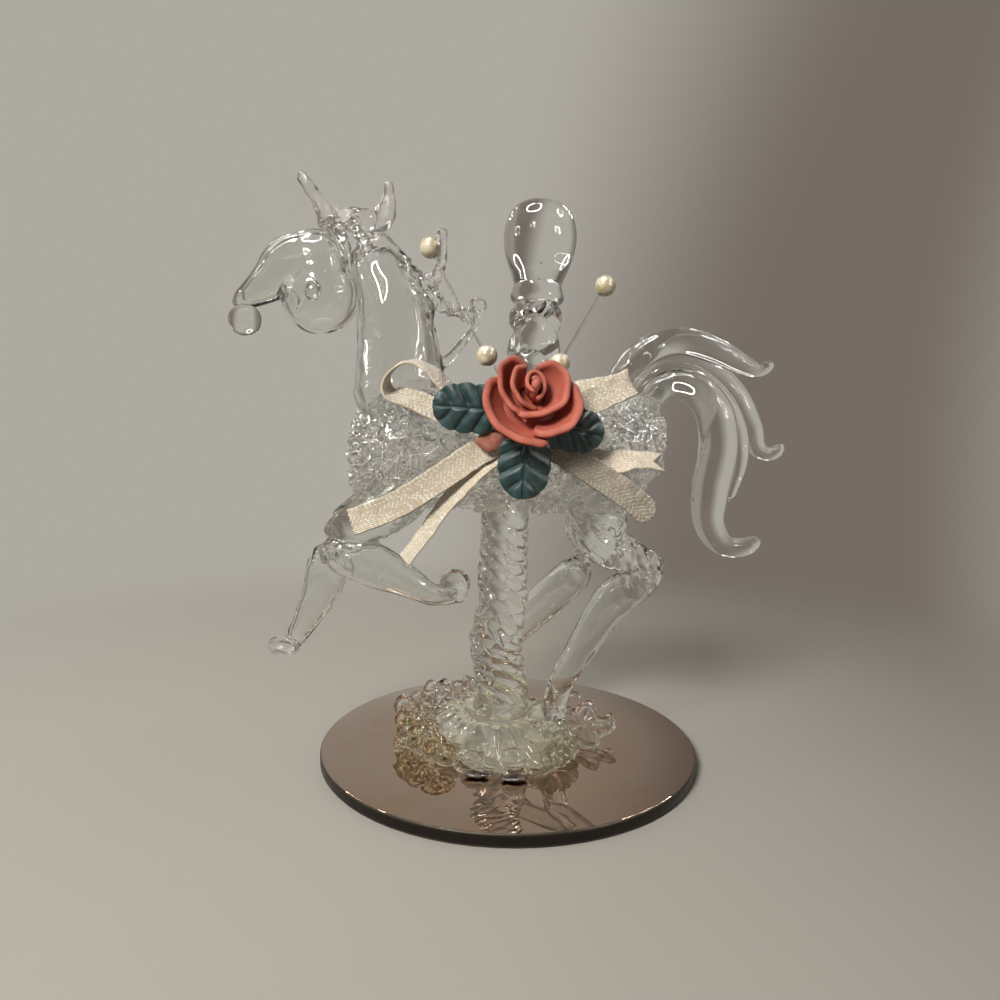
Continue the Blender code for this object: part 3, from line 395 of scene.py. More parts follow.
def rod_line(stations, spacing, round_start=True):
    """Stations of a rod at an even spacing, drawn in to a dome at its end and, if wanted, its start."""
    line = smooth_line(stations)
    length = measured(line)[-1]
    first, final = line[0, 3], line[-1, 3]
    dome = 1 - np.cos(np.radians(np.arange(4, 90, 10)))
    begin, stop = first if round_start else 0.0, length - final
    count = max(2, int(round((stop - begin) / spacing)) + 1)
    parts = [np.linspace(begin, stop, count), length - final * dome[::-1]]
    if round_start:
        parts.insert(0, first * dome)
    where = np.concatenate(parts)
    points = resample(line, where)
    if round_start:
        near = np.clip(where / first, 0, 1)
        points[:, 3] = np.where(near < 1, first * np.sqrt(1 - (1 - near) ** 2), points[:, 3])
    near = np.clip((length - where) / final, 0, 1)
    points[:, 3] = np.where(near < 1, final * np.sqrt(1 - (1 - near) ** 2), points[:, 3])
    return points


def frames_along(points):
    """A pair of vectors across the line at each point, carried along without needless turning."""
    count = len(points)
    tangents = np.gradient(points, axis=0)
    tangents /= np.maximum(np.linalg.norm(tangents, axis=1, keepdims=True), 1e-12)
    side = np.cross(tangents[0], (0.0, 1.0, 0.0))
    if np.linalg.norm(side) < 0.1:
        side = np.cross(tangents[0], (1.0, 0.0, 0.0))
    sides = np.empty((count, 3))
    for i in range(count):
        side = side - tangents[i] * side.dot(tangents[i])
        side = side / max(np.linalg.norm(side), 1e-12)
        sides[i] = side
    return sides, np.cross(tangents, sides)


def sweep(points, sides=20, flatness=1.0, section=None, turns=None):
    """Points and faces of a closed tube along (x, y, z, radius) stations. section gives the radius
    around the tube as a share, and turns the angle by which it is turned at each station."""
    line = np.array(points, dtype=float)
    line[:, 1] /= flatness
    across, over = frames_along(line[:, :3])
    angles = angles_round(sides)
    count = len(line)
    turned = angles[None, :] + (np.zeros(count) if turns is None else turns)[:, None]
    share = np.ones((count, sides)) if section is None else np.broadcast_to(section(angles), (count, sides))
    reach = line[:, 3][:, None] * share
    rings = (line[:, None, :3] + (reach * np.cos(turned))[:, :, None] * across[:, None, :]
             + (reach * np.sin(turned))[:, :, None] * over[:, None, :])
    verts = np.vstack([rings.reshape(-1, 3), line[0, :3], line[-1, :3]])
    verts[:, 1] *= flatness
    return verts, tube_faces(count, sides)


def angles_round(sides):
    return np.arange(sides) * 2 * math.pi / sides


def grid_faces(rows, columns, closed):
    """Faces of a grid of rows and columns of points, whose columns may run round to the start."""
    faces = []
    width = columns if closed else columns - 1
    for i in range(rows - 1):
        base = i * columns
        for j in range(width):
            after = (j + 1) % columns
            faces.append((base + j, base + after, base + columns + after, base + columns + j))
    return faces


def tube_faces(rows, columns):
    """Faces of a tube of rings, whose last two points are the middles of its ends."""
    faces = grid_faces(rows, columns, True)
    middle, last = rows * columns, (rows - 1) * columns
    for j in range(columns):
        after = (j + 1) % columns
        faces += [(middle, after, j), (middle + 1, last + j, last + after)]
    return faces


def flat_rings(radii, sides, height):
    angles = angles_round(sides)
    return np.vstack([
        np.column_stack([r * np.cos(angles), r * np.sin(angles), np.full(sides, height)]) for r in radii])


def joined(*shapes):
    """Several (points, faces) as one."""
    points, faces, offset = [], [], 0
    for verts, polys in shapes:
        points.append(np.asarray(verts))
        faces += [tuple(offset + i for i in poly) for poly in polys]
        offset += len(verts)
    return np.vstack(points), faces


def flipped(shape):
    """The same surface facing the other way, such as a bubble inside glass."""
    verts, faces = shape
    return verts, [tuple(reversed(face)) for face in faces]


def ellipsoid(centre, size, turn=None, segments=32, rings=20):
    verts = []
    for i in range(1, rings):
        low = math.pi * i / rings
        for j in range(segments):
            angle = 2 * math.pi * j / segments
            verts.append((math.sin(low) * math.cos(angle), math.sin(low) * math.sin(angle), -math.cos(low)))
    table = np.array(verts + [(0.0, 0.0, -1.0), (0.0, 0.0, 1.0)]) * np.array(size)
    if turn is not None:
        table = table @ np.array(turn.to_3x3()).T
    return table + np.array(centre), tube_faces(rings - 1, segments)


def lathe(profile, segments, centre=(0.0, 0.0, 0.0), axis=None):
    """A closed turned shape. profile is (radius, height) from its bottom to its top."""
    rows = np.array(profile, dtype=float)
    verts = np.vstack([flat_rings((radius,), segments, height) for radius, height in rows]
                      + [(0, 0, rows[0, 1]), (0, 0, rows[-1, 1])])
    if axis is not None:
        verts = verts @ np.array(axis.to_track_quat("Z", "Y").to_matrix()).T
    return verts + np.array(centre), tube_faces(len(rows), segments)


def ripple(verts, height, length, seed):
    """Moves points a little along smooth waves, as hand work does."""
    draw = np.random.default_rng(seed)
    moved = np.array(verts, dtype=float)
    for axis in range(3):
        for _ in range(3):
            direction = draw.normal(size=3)
            direction /= np.linalg.norm(direction)
            rate = 2 * math.pi / (length * draw.uniform(0.7, 1.5))
            phase = draw.uniform(0, 2 * math.pi)
            moved[:, axis] += height / 1.7 * np.sin(verts @ direction * rate + phase)
    return moved


def at(x, y, z):
    """A place in millimetres from the belly line."""
    return BELLY + Vector((x, y, z)) * MM


def round_foot(radius, angle, height):
    """A place round the foot's own middle."""
    return FOOT_CENTRE.x + radius * math.cos(angle), FOOT_CENTRE.y + radius * math.sin(angle), height


def on_horse(stations):
    """Stations in millimetres from the belly line, as places in metres."""
    table = np.array(stations, dtype=float) * MM
    table[:, :3] += np.array(BELLY)
    return table


def horse_rod(stations, spacing=0.0003, sides=28, flatness=1.0, **ends):
    return sweep(rod_line(on_horse(stations), spacing, **ends), sides, flatness)


def horse_ball(x, y, z, *size, turn=None):
    size = tuple(v * MM for v in (size if len(size) == 3 else size * 3))
    return ellipsoid(at(x, y, z), size, turn)


def thread_ring(x, y, z, size, across, over, turns=1.0):
    """A ring of thread round a place in millimetres. across and over are its reach along Y and Z."""
    line, steps = [], 24
    for i in range(steps + 1):
        around = 2 * math.pi * turns * i / steps
        line.append(((x + size * math.cos(around)) * MM, (y + size * math.sin(around) * across) * MM,
                     (z + size * math.sin(around) * over) * MM, FOLD_THREAD))
    return sweep(line, 12)


def mesh_of(name, verts, faces):
    mesh = bpy.data.meshes.new(name)
    mesh.from_pydata([tuple(v) for v in np.asarray(verts).tolist()], [], faces)
    mesh.validate()
    mesh.shade_smooth()
    return mesh


def shape_of(mesh):
    return [tuple(v.co) for v in mesh.vertices], [tuple(p.vertices) for p in mesh.polygons]


def outward(mesh, merge=0.0):
    """Turns the faces outward, after points closer than merge are made one."""
    shape = bmesh.new()
    shape.from_mesh(mesh)
    if merge:
        bmesh.ops.remove_doubles(shape, verts=shape.verts, dist=merge)
    bmesh.ops.recalc_face_normals(shape, faces=shape.faces)
    shape.to_mesh(mesh)
    shape.free()
    return mesh


def placed(name, data):
    piece = bpy.data.objects.new(name, data)
    bpy.context.scene.collection.objects.link(piece)
    return piece


def show(name, mesh, finish, slot, *nodes):
    """Puts a finished mesh in the scene as a piece that stands for the given solids."""
    mesh.materials.clear()
    mesh.materials.append(finish)
    piece = placed(name, mesh)
    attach(piece, "root")
    if nodes:
        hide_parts(*nodes)
    return piece


def show_clear(name, mesh, *nodes):
    show(name, mesh, glass_material("drawn_clear_glass"), "clear_glass", *nodes)


def cloth(mesh, uvs):
    """Gives each point its place across and along the ribbon."""
    layer = mesh.uv_layers.new(name="UVMap")
    for loop in mesh.loops:
        layer.data[loop.index].uv = uvs[loop.vertex_index]
    return mesh


def evaluated(piece):
    """The piece's mesh with its modifiers applied."""
    bpy.context.view_layer.update()
    graph = bpy.context.evaluated_depsgraph_get()
    mesh = bpy.data.meshes.new_from_object(piece.evaluated_get(graph))
    bpy.data.objects.remove(piece)
    return mesh


def thickened(mesh, thickness, offset=0.0, even=False, rounded=True):
    """A sheet given its thickness and, if wanted, rounded by one subdivision."""
    maker = placed(mesh.name, mesh)
    body = maker.modifiers.new("body", "SOLIDIFY")
    body.thickness = thickness
    body.offset = offset
    body.use_even_offset = even
    if rounded:
        soft = maker.modifiers.new("soft", "SUBSURF")
        soft.levels = soft.render_levels = 1
    return evaluated(maker)


def blown(mesh, core):
    """Leaves the core empty, as in glass that was blown: its skin is added inside out."""
    shape = bmesh.new()
    shape.from_mesh(core)
    bmesh.ops.reverse_faces(shape, faces=shape.faces)
    shape.from_mesh(mesh)
    shape.to_mesh(mesh)
    shape.free()
    return mesh


def crumpled(mesh, *spots):
    """Puckers the glass round each (place, reach, height) where rods were pressed together."""
    table = np.empty(len(mesh.vertices) * 3)
    mesh.vertices.foreach_get("co", table)
    table = table.reshape(-1, 3)
    for seed, (place, reach, height) in enumerate(spots):
        near = np.exp(-(np.linalg.norm(table - np.array(place), axis=1) / reach) ** 2)
        table = table + (ripple(table, height, 0.0017, 70 + seed) - table) * near[:, None]
    mesh.vertices.foreach_set("co", table.ravel())
    mesh.update()
    return mesh


def fused(name, shape, detail=None, rounds=None, wave=0.00004, wave_length=0.004, seed=1):
    """Melts overlapping rods into one skin, softens the joints and leaves a slight unevenness."""
    glass = settings().glass
    maker = placed(name, mesh_of(name, *shape))
    melt = maker.modifiers.new("melt", "REMESH")
    melt.mode = "VOXEL"
    melt.voxel_size = detail or glass.fuse_size
    melt.use_smooth_shade = True
    soften = maker.modifiers.new("soften", "SMOOTH")
    soften.factor = 0.5
    soften.iterations = glass.melt_rounds if rounds is None else rounds
    done = evaluated(maker)
    table = np.empty(len(done.vertices) * 3)
    done.vertices.foreach_get("co", table)
    done.vertices.foreach_set("co", ripple(table.reshape(-1, 3), wave, wave_length, seed).ravel())
    done.update()
    done.shade_smooth()
    return done


def show_blown(name, shape, core, nodes, spots=(), core_seed=None, **melt):
    """Melts a hollow piece of clear glass and puckers it at the given spots."""
    inside = {**melt, "seed": core_seed} if core_seed else melt
    skin = crumpled(fused(name, shape, **melt), *spots)
    show_clear(name, blown(skin, fused(name + "_core", core, **inside)), *nodes)


class GLASSHORSE_OT_stage(bpy.types.Operator):
    """Adds the camera, the ring lamps, the soft lamp, the room's light and the paper sweep"""
    bl_idname = "glass_horse.stage"
    bl_label = "Stage"
    bl_options = {"REGISTER", "UNDO"}

    def execute(self, context):
        values = context.scene.glass_horse
        self.add_camera()
        self.add_sweep(values.stage)
        self.add_lamps(values.stage)
        return {"FINISHED"}

    def add_camera(self):
        yaw, pitch, roll = (math.radians(angle) for angle in CAMERA_TURNS)
        forward = Vector((math.sin(yaw) * math.cos(pitch), math.cos(yaw) * math.cos(pitch),
                          -math.sin(pitch)))
        level = Vector((math.cos(yaw), -math.sin(yaw), 0.0))
        upright = level.cross(forward)
        right = level * math.cos(roll) + upright * math.sin(roll)
        up = upright * math.cos(roll) - level * math.sin(roll)
        lens = bpy.data.cameras.new("camera")
        lens.sensor_width = 36.0
        lens.lens = CAMERA_LENS
        lens.clip_start = 0.002
        lens.clip_end = 5.0
        matrix = Matrix((right, up, -forward)).transposed().to_4x4()
        matrix.translation = Vector(CAMERA_PLACE)
        camera = placed("camera", lens)
        camera.matrix_world = matrix
        bpy.context.scene.camera = camera

    def add_sweep(self, stage):
        """A round paper floor whose rim fades into the room."""
        reach = (0.05, 0.10, 0.15, 0.20, 0.27, 0.36, 0.48, 0.64, 0.85, 1.10)
        sides = 128
        verts = np.vstack([flat_rings(reach, sides, FLOOR_HEIGHT), (0.0, 0.0, FLOOR_HEIGHT)])
        faces = [tuple(reversed(face)) for face in grid_faces(len(reach), sides, True)]
        faces += [(len(verts) - 1, j, (j + 1) % sides) for j in range(sides)]
        made, tree, shader = blank_material("paper_floor", Roughness=0.85)
        skin = mottled(tree, shader, (14.0, 900.0), tinted(stage.floor_colour, (0.97, 0.97, 0.97)),
                       stage.floor_colour, (0.8, 0.9))
        # Painted shade and shadow: the paper darkens towards +X, where the soft lamp's light falls off and
        # the figurine's shadow lies.
        across = value_node(tree, "ShaderNodeSeparateXYZ", {0: object_place(tree)}).outputs["X"]
        painted_shade_colour = tinted(stage.floor_colour, (0.60, 0.60, 0.60))
        link(tree, blend_colours(tree, ramp(tree, across, -0.01, 0.11), skin.outputs["Colour"], painted_shade_colour),
             shader.inputs["Base Color"])
        distance = value_node(tree, "ShaderNodeVectorMath", {0: object_place(tree)}, operation="LENGTH")
        fade = ramp(tree, distance.outputs["Value"], 0.065, 0.21)
        clear = tree.nodes.new("ShaderNodeBsdfTransparent")
        mix = value_node(tree, "ShaderNodeMixShader", {
            0: fade, 1: shader.outputs[0], 2: clear.outputs[0]})
        link(tree, mix.outputs[0], tree.nodes["Material Output"].inputs["Surface"])
        mesh = mesh_of("paper_floor", verts, faces)
        mesh.materials.append(made)
        placed("paper_floor", mesh)

    def add_lamps(self, stage):
        """Ring lamps all round, which show as small rings in the glass, and one soft lamp."""
        for name, way, away, inner, outer, share in (
                ("ring_lamp_overhead", (-0.25, -0.22, 0.95), 0.30, 0.078, 0.085, 5.6),
                ("ring_lamp_front", (-0.41, -0.78, 0.47), 0.36, 0.040, 0.045, 9.0),
                ("ring_lamp_right", (0.66, -0.12, 0.74), 0.36, 0.042, 0.047, 5.0),
                ("ring_lamp_side", (0.72, -0.60, 0.30), 0.36, 0.048, 0.052, 4.4),
                ("ring_lamp_left", (-0.93, -0.15, 0.34), 0.36, 0.048, 0.052, 2.4),
                ("ring_lamp_back_left", (-0.52, 0.58, 0.63), 0.36, 0.044, 0.047, 2.2),
                ("ring_lamp_back_right", (0.50, 0.62, 0.60), 0.36, 0.044, 0.047, 2.2)):
            self.add_ring_lamp(name, LAMP_AIM + Vector(way).normalized() * away, inner, outer,
                               stage.lamp_power * share)
        soft = bpy.data.lights.new("soft_lamp", "AREA")
        soft.shape = "DISK"
        soft.size = 0.24
        soft.energy = 7.0
        soft.color = (1.0, 0.98, 0.95)
        lamp = placed("soft_lamp", soft)
        lamp.location = (-0.34, -0.52, 0.46)
        lamp.visible_glossy = False
        lamp.visible_transmission = False
        lamp.rotation_euler = (LAMP_AIM - lamp.location).to_track_quat("-Z", "Y").to_euler()
        self.add_room(stage)

    def add_room(self, stage):
        """A pale wall that falls off to the right, a dimmer room in front and a dark ceiling."""
        world = bpy.data.worlds.new("room")
        bpy.context.scene.world = world
        world.use_nodes = True
        tree = world.node_tree
        place = tree.nodes.new("ShaderNodeTexCoord").outputs["Generated"]
        axes = value_node(tree, "ShaderNodeSeparateXYZ", {0: place})
        # lean slants the wall's fall-off so that it reaches further left lower down: a painted shadow of the
        # figurine on the wall.
        lean = times(tree, maths(tree, "SUBTRACT", axes.outputs["Z"], 0.23), -0.25)
        colour = srgb(174, 170, 161)
        for along, low, high, beyond in (
                (maths(tree, "ADD", axes.outputs["X"], lean), 0.0, 0.38, (117, 108, 100)),
                (axes.outputs["X"], -0.56, -0.82, (122, 118, 108)),
                (axes.outputs["X"], 0.50, 0.64, (148, 142, 132)),
                (axes.outputs["Y"], -0.05, -0.62, (86, 81, 73)),
                (axes.outputs["Z"], 0.62, 0.97, (64, 60, 53))):
            colour = blend_colours(tree, ramp(tree, along, low, high), colour, srgb(*beyond))
        link(tree, colour, tree.nodes["Background"].inputs["Color"])
        tree.nodes["Background"].inputs["Strength"].default_value = stage.room_light

    def add_ring_lamp(self, name, centre, inner, outer, strength):
        sides = 64
        turn = np.array((LAMP_AIM - centre).to_track_quat("Z", "Y").to_matrix())
        verts = flat_rings((inner, outer), sides, 0.0) @ turn.T + np.array(centre)
        mesh = mesh_of(name, verts, grid_faces(2, sides, True))
        made = bpy.data.materials.new(name)
        made.use_nodes = True
        tree = made.node_tree
        tree.nodes.clear()
        glow = value_node(tree, "ShaderNodeEmission", {
            "Color": (1.0, 0.97, 0.92, 1.0), "Strength": strength})
        out = tree.nodes.new("ShaderNodeOutputMaterial")
        link(tree, glow.outputs[0], out.inputs["Surface"])
        mesh.materials.append(made)
        lamp = placed(name, mesh)
        lamp.visible_camera = False
        lamp.visible_diffuse = False


class GLASSHORSE_OT_mirror(bpy.types.Operator):
    """Dresses the round bronze mirror and the paint on its back"""
    bl_idname = "glass_horse.mirror"
    bl_label = "Mirror"
    bl_options = {"REGISTER", "UNDO"}

    def execute(self, context):
        values = context.scene.glass_horse
        corner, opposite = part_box("mirror_glass")
        radius, low, high = (opposite.x - corner.x) / 2, corner.z, MIRROR_TOP
        arris = 0.0003
        profile = [(radius * share, low) for share in (0.25, 0.5, 0.75)]
        for centre, first in ((low + arris, -90), (high - arris, 0)):
            for step in range(5):
                angle = math.radians(first + 22.5 * step)
                profile.append((radius - arris + arris * math.cos(angle), centre + arris * math.sin(angle)))
        profile += [(radius * share, high) for share in (0.75, 0.5, 0.25)]
        mesh = mesh_of("bronze_mirror", *lathe(profile, 192))
        piece = show("bronze_mirror", mesh, self.face_material(values.mirror), "bronze_mirror_glass",
                     "mirror_glass")
        piece.data.materials.append(self.edge_material())
        for poly in piece.data.polygons:
            flat = poly.center.z > high - 0.00002 or poly.center.z < low + 0.00002
            poly.material_index = 0 if flat else 1
        piece.data.set_sharp_from_angle(angle=math.radians(60))
        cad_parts["mirror_backing"].material_slots[0].material = mottled_material(
            "mirror_paint", (160.0, 3200.0), srgb(58, 48, 42), srgb(76, 64, 56), (0.45, 0.7), 0.3, 0.00002)
        return {"FINISHED"}

    def face_material(self, mirror):
        made, tree, shader = blank_material("bronze_mirror_face", Metallic=1.0, Coat_IOR=1.5,
                                            Coat_Roughness=0.01)
        place = object_place(tree)
        smears = noise_node(tree, place, 38.0, detail=6.0, roughness=0.7, distortion=1.2)
        dust = noise_node(tree, place, 1500.0, detail=2.0)
        smear = ramp(tree, smears.outputs["Fac"], 0.45, 0.75)
        speck = ramp(tree, dust.outputs["Fac"], 0.70, 0.76)
        light = tuple(min(1.0, c * 1.06) for c in mirror.tint)
        tint = blend_colours(tree, smear, light, mirror.tint)
        dust_share = times(tree, speck, 0.25)
        link(tree, blend_colours(tree, dust_share, tint, (0.62, 0.58, 0.52)), shader.inputs["Base Color"])
        haze = maths(tree, "ADD", times(tree, smear, 0.025), dust_share)
        link(tree, maths(tree, "ADD", haze, 0.015), shader.inputs["Roughness"])
        link(tree, maths(tree, "SUBTRACT", 1.0, times(tree, smear, 0.4)),
             shader.inputs["Coat Weight"])
        return made

    def edge_material(self):
        """The ground edge: dark brown glass, with a painted highlight along its upper arris."""
        made, tree, shader = blank_material("bronze_mirror_edge", Metallic=0.2, Specular_IOR_Level=0.35)
        place = object_place(tree)
        height = value_node(tree, "ShaderNodeSeparateXYZ", {0: place}).outputs["Z"]
        # Painted highlight: the upper arris is blended halfway towards a pale brown.
        lip = ramp(tree, height, MIRROR_TOP - 0.00045, MIRROR_TOP - 0.00005)
        chatter = noise_node(tree, place, 1800.0, detail=3.0)
        grain = ramp(tree, chatter.outputs["Fac"], 0.35, 0.7)
        body = blend_colours(tree, grain, srgb(17, 12, 7), srgb(28, 19, 12))
        link(tree, blend_colours(tree, times(tree, lip, 0.5), body, srgb(72, 64, 48)),
             shader.inputs["Base Color"])
        link(tree, ramp(tree, chatter.outputs["Fac"], 0.3, 0.8, 0.32, 0.48), shader.inputs["Roughness"])
        bump(tree, shader, chatter.outputs["Fac"], 0.25, 0.00001)
        return made

class GLASSHORSE_OT_foot(bpy.types.Operator):
    """Builds the fluted skirt of glass at the foot of the pole and the glue under it"""
    bl_idname = "glass_horse.foot"
    bl_label = "Foot and glue"
    bl_options = {"REGISTER", "UNDO"}

    def execute(self, context):
        self.add_foot()
        self.add_glue()
        return {"FINISHED"}

    def edge_at(self, angle):
        """Radius of the rim, which reaches out to the front."""
        reach = 0.0044 * max(0.0, math.cos(angle - math.radians(275))) ** 5
        return FOOT_RADIUS + reach + FOOT_WAVE * math.cos(FOOT_LOBES * angle)

    def add_foot(self):
        """A skirt of glass that ran down in flutes under a collar and ends in rounded lobes."""
        columns = 420
        outline = smooth_line([
            (0.00, 1.00), (0.05, 1.02), (0.10, 0.99), (0.11, 0.90), (0.08, 0.82), (0.12, 0.76),
            (0.24, 0.68), (0.42, 0.55), (0.60, 0.42), (0.76, 0.33), (0.90, 0.28), (0.99, 0.18),
            (1.00, 0.08), (0.95, 0.0)], 5)
        collar = 0.0050
        height = FOOT_TOP - FOOT_BOTTOM
        verts = []
        for share, level in outline:
            for j in range(columns):
                angle = 2 * math.pi * j / columns
                wander = angle + 0.05 * math.sin(5 * angle) + 0.03 * math.sin(9 * angle + 1)
                radius = collar + (self.edge_at(angle) - collar) * share
                under = min(1.0, max(0.0, (share - 0.16) / 0.16))
                under *= min(1.0, max(0.0, (0.92 - share) / 0.2))
                flute = abs(math.cos(13 * wander)) ** 0.7 * under
                lobe = max(0.0, math.cos(FOOT_LOBES * angle)) * max(0.0, share - 0.6) * 2.2
                up = 0.0
                if level > 0:
                    up = height * (level + 0.22 * flute + 0.14 * lobe * min(1.0, level * 8))
                verts.append(round_foot(radius + 0.00070 * flute, angle, FOOT_BOTTOM + min(up, height)))
        verts += [round_foot(0.0, 0.0, level) for level in (FOOT_TOP, FOOT_BOTTOM)]
        skirt = shape_of(outward(mesh_of("skirt", verts, tube_faces(len(outline), columns))))
        low = FOOT_BOTTOM / MM
        lobes = [ellipsoid(Vector((x, y, low + z)) * MM, (a * MM, b * MM, z * MM)) for x, y, z, a, b in (
            (-5.0, -12.0, 1.0, 2.7, 2.6), (0.2, -12.9, 1.4, 2.0, 2.5), (4.0, -12.4, 1.0, 1.9, 2.2),
            (-9.0, -8.9, 1.0, 2.2, 2.2), (8.4, -7.4, 1.2, 2.3, 2.1))]
        folds = [
            thread_ring(x, y, z, size, math.cos(math.radians(tilt)), math.sin(math.radians(tilt)))
            for x, y, z, size, tilt in (
                (-9.8, -9.2, 2.8, 1.8, 14), (-6.6, -11.4, 2.6, 1.9, 10), (-3.2, -12.8, 2.6, 1.7, 16),
                (0.4, -13.4, 3.0, 1.8, 20), (4.0, -12.4, 2.6, 1.7, 12))]
        mesh = fused("fluted_foot", joined(skirt, *lobes, *folds), detail=0.00015, rounds=2, wave=0.00002)
        show("fluted_foot", mesh, foot_glass(), "clear_glass", "base_foot")

    def add_glue(self):
        """A yellowed pad of glue under the foot."""
        made = mottled_material("yellowed_glue", (420.0, 1800.0), srgb(210, 203, 164), srgb(238, 234, 212),
                                (0.1, 0.4), 0.5, 0.00005, Transmission_Weight=0.15, IOR=1.45)
        low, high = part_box("base_glue_pad")[0].z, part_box("base_glue_pad")[1].z
        columns = 96
        verts, rows = [], ((0.3, 0.0), (0.7, 0.0), (0.95, 0.0), (1.0, 0.35), (0.97, 0.8), (0.9, 1.0),
                           (0.5, 1.0), (0.2, 1.0))
        for share, level in rows:
            for j in range(columns):
                angle = 2 * math.pi * j / columns
                wander = 1 + 0.05 * math.sin(3 * angle + 0.7) + 0.035 * math.sin(7 * angle)
                verts.append(round_foot(0.0088 * share * wander, angle, low + (high - low) * level))
        verts += [round_foot(0.0, 0.0, level) for level in (low, high)]
        mesh = outward(mesh_of("base_glue", verts, tube_faces(len(rows), columns)))
        show("base_glue", mesh, made, "aged_glue", "base_glue_pad")
        self.add_dark_spots(low)

    def add_dark_spots(self, low):
        """Old glue has gone dark in two spots in front of the foot."""
        made = mottled_material("dark_glue", (900.0, 3000.0), srgb(30, 18, 14), srgb(54, 36, 28),
                                (0.18, 0.4), 0.4, 0.00004, Coat_Weight=0.6, Coat_Roughness=0.04)
        spots, half = [], 0.00035
        for seed, (x, y, length, width) in enumerate(((-5.2, -14.6, 1.8, 0.9), (0.2, -15.7, 2.0, 1.0))):
            verts, faces = ellipsoid((x * MM, y * MM, low + half), (length * MM, width * MM, half),
                                     None, 40, 16)
            spots.append((ripple(verts, 0.00008, 0.002, 40 + seed), faces))
        show("dark_glue_spots", outward(mesh_of("dark_glue_spots", *joined(*spots))), made, "aged_glue")


class GLASSHORSE_OT_scroll(bpy.types.Operator):
    """Builds the coiled thread, the beads and the star leaf round the foot"""
    bl_idname = "glass_horse.scroll"
    bl_label = "Coil, beads and star"
    bl_options = {"REGISTER", "UNDO"}

    def execute(self, context):
        self.add_coil()
        self.add_beads()
        self.add_star()
        return {"FINISHED"}

    def add_coil(self):
        """One thread in loose standing loops: it leans, swells and thins as it goes round the foot."""
        thread, loop, each = 0.00066, 0.0021, 40
        gap = 0.0005
        ring = FOOT_RADIUS + FOOT_WAVE + gap + loop + thread
        middle = MIRROR_TOP + MIRROR_GAP + thread + loop
        begin, end = math.radians(93), math.radians(226)
        draw = random.Random(12)
        loops = 9
        kinds = [{"size": draw.uniform(0.74, 1.06), "lean": draw.uniform(-0.5, 0.6),
                  "wide": draw.uniform(0.8, 1.1), "slip": draw.uniform(-0.8, 0.5),
                  "thin": draw.uniform(0.7, 1.12)} for _ in range(loops + 1)]
        stations = []
        for i in range(loops * each + 1):
            along = i / each
            turn = 2 * math.pi * along
            near = int(min(along, loops - 1))
            part = along - near
            blend = part * part * (3 - 2 * part)
            kind = {key: kinds[near][key] * (1 - blend) + kinds[near + 1][key] * blend for key in kinds[0]}
            size = loop * kind["size"]
            angle = begin + (end - begin) * along / loops + kind["lean"] * size * math.sin(turn) / ring
            radius = ring + size * kind["wide"] * math.cos(turn) + kind["slip"] * MM * 0.6
            stations.append((*round_foot(radius, angle, middle - (loop - size) + size * math.sin(turn)),
                             thread * kind["thin"]))
        curl = sweep(stations, 16)
        extras = []
        for x, y, z, size, tilt, heading in (
                (-12.2, -10.2, 5.0, 2.2, 75, -20), (-14.8, -8.4, 4.9, 1.6, 60, -50),
                (-16.4, -5.4, 4.6, 1.5, 80, -70), (-15.4, -1.6, 5.4, 1.6, 50, -90),
                (-15.6, 2.6, 4.6, 1.6, 70, -100), (-14.2, 6.4, 5.2, 1.6, 60, -60),
                (-13.4, 10.2, 4.8, 1.7, 80, -30), (-11.0, 13.4, 5.4, 1.8, 70, -20),
                (-8.6, 15.4, 4.8, 1.6, 85, 10), (-6.2, 16.2, 5.2, 1.5, 60, 30),
                (-13.2, -5.6, 6.0, 1.3, 30, 0), (-13.6, 3.2, 6.2, 1.2, 35, 20),
                (-11.6, 10.6, 6.1, 1.3, 40, 0), (-10.4, -11.4, 4.5, 1.5, 80, 10),
                (-17.0, -7.6, 4.4, 1.4, 65, -60), (-16.8, 0.6, 4.5, 1.5, 75, -90),
                (-12.4, -8.0, 6.3, 1.3, 40, -30), (-14.8, -3.4, 6.4, 1.2, 45, -70)):
            turn = Matrix.Rotation(math.radians(heading), 3, "Z")
            turn = turn @ Matrix.Rotation(math.radians(tilt), 3, "X")
            ring_line, steps = [], 30
            for i in range(steps + 1):
                around = 2 * math.pi * 1.12 * i / steps
                grow = size * (1 - 0.22 * i / steps)
                spot = turn @ Vector((grow * math.cos(around), grow * 0.85 * math.sin(around), 0.012 * i))
                ring_line.append((*((Vector((x, y, z)) + spot) * MM), draw.uniform(0.00044, 0.00058)))
            extras.append(sweep(smooth_line(ring_line, 2), 14))
        mesh = fused("coiled_thread", joined(curl, *extras), detail=0.00017, rounds=3, wave=0.00003)
        show("coiled_thread", mesh, amber_glass(), "clear_glass", "base_scroll")

    def add_beads(self):
        """Beads and small curls fused in a cluster at the front right."""
        low = MIRROR_TOP + MIRROR_GAP
        shapes = []
        for degrees, beyond, size in ((296, 0.0049, 1.6), (305, 0.0044, 1.7), (314, 0.0038, 1.6),
                                      (300, 0.0028, 1.2), (322, 0.0030, 1.1)):
            angle, radius = math.radians(degrees), FOOT_RADIUS + beyond
            centre = round_foot(radius, angle, low + size * MM)
            shapes.append(ellipsoid(centre, (size * MM, size * MM, size * MM * 0.92)))
        for x, y, z, size, tip in ((6.6, -11.8, 4.6, 1.25, 0.3), (9.0, -10.4, 4.2, 1.15, 1.2),
                                   (5.4, -13.0, 3.9, 1.0, 2.0)):
            shapes.append(thread_ring(x, y, z, size, math.cos(tip), 0.6, 1.1))
        mesh = fused("fused_beads", joined(*shapes), detail=0.00016, rounds=4)
        show("fused_beads", mesh, base_glass(), "clear_glass", "base_beads")

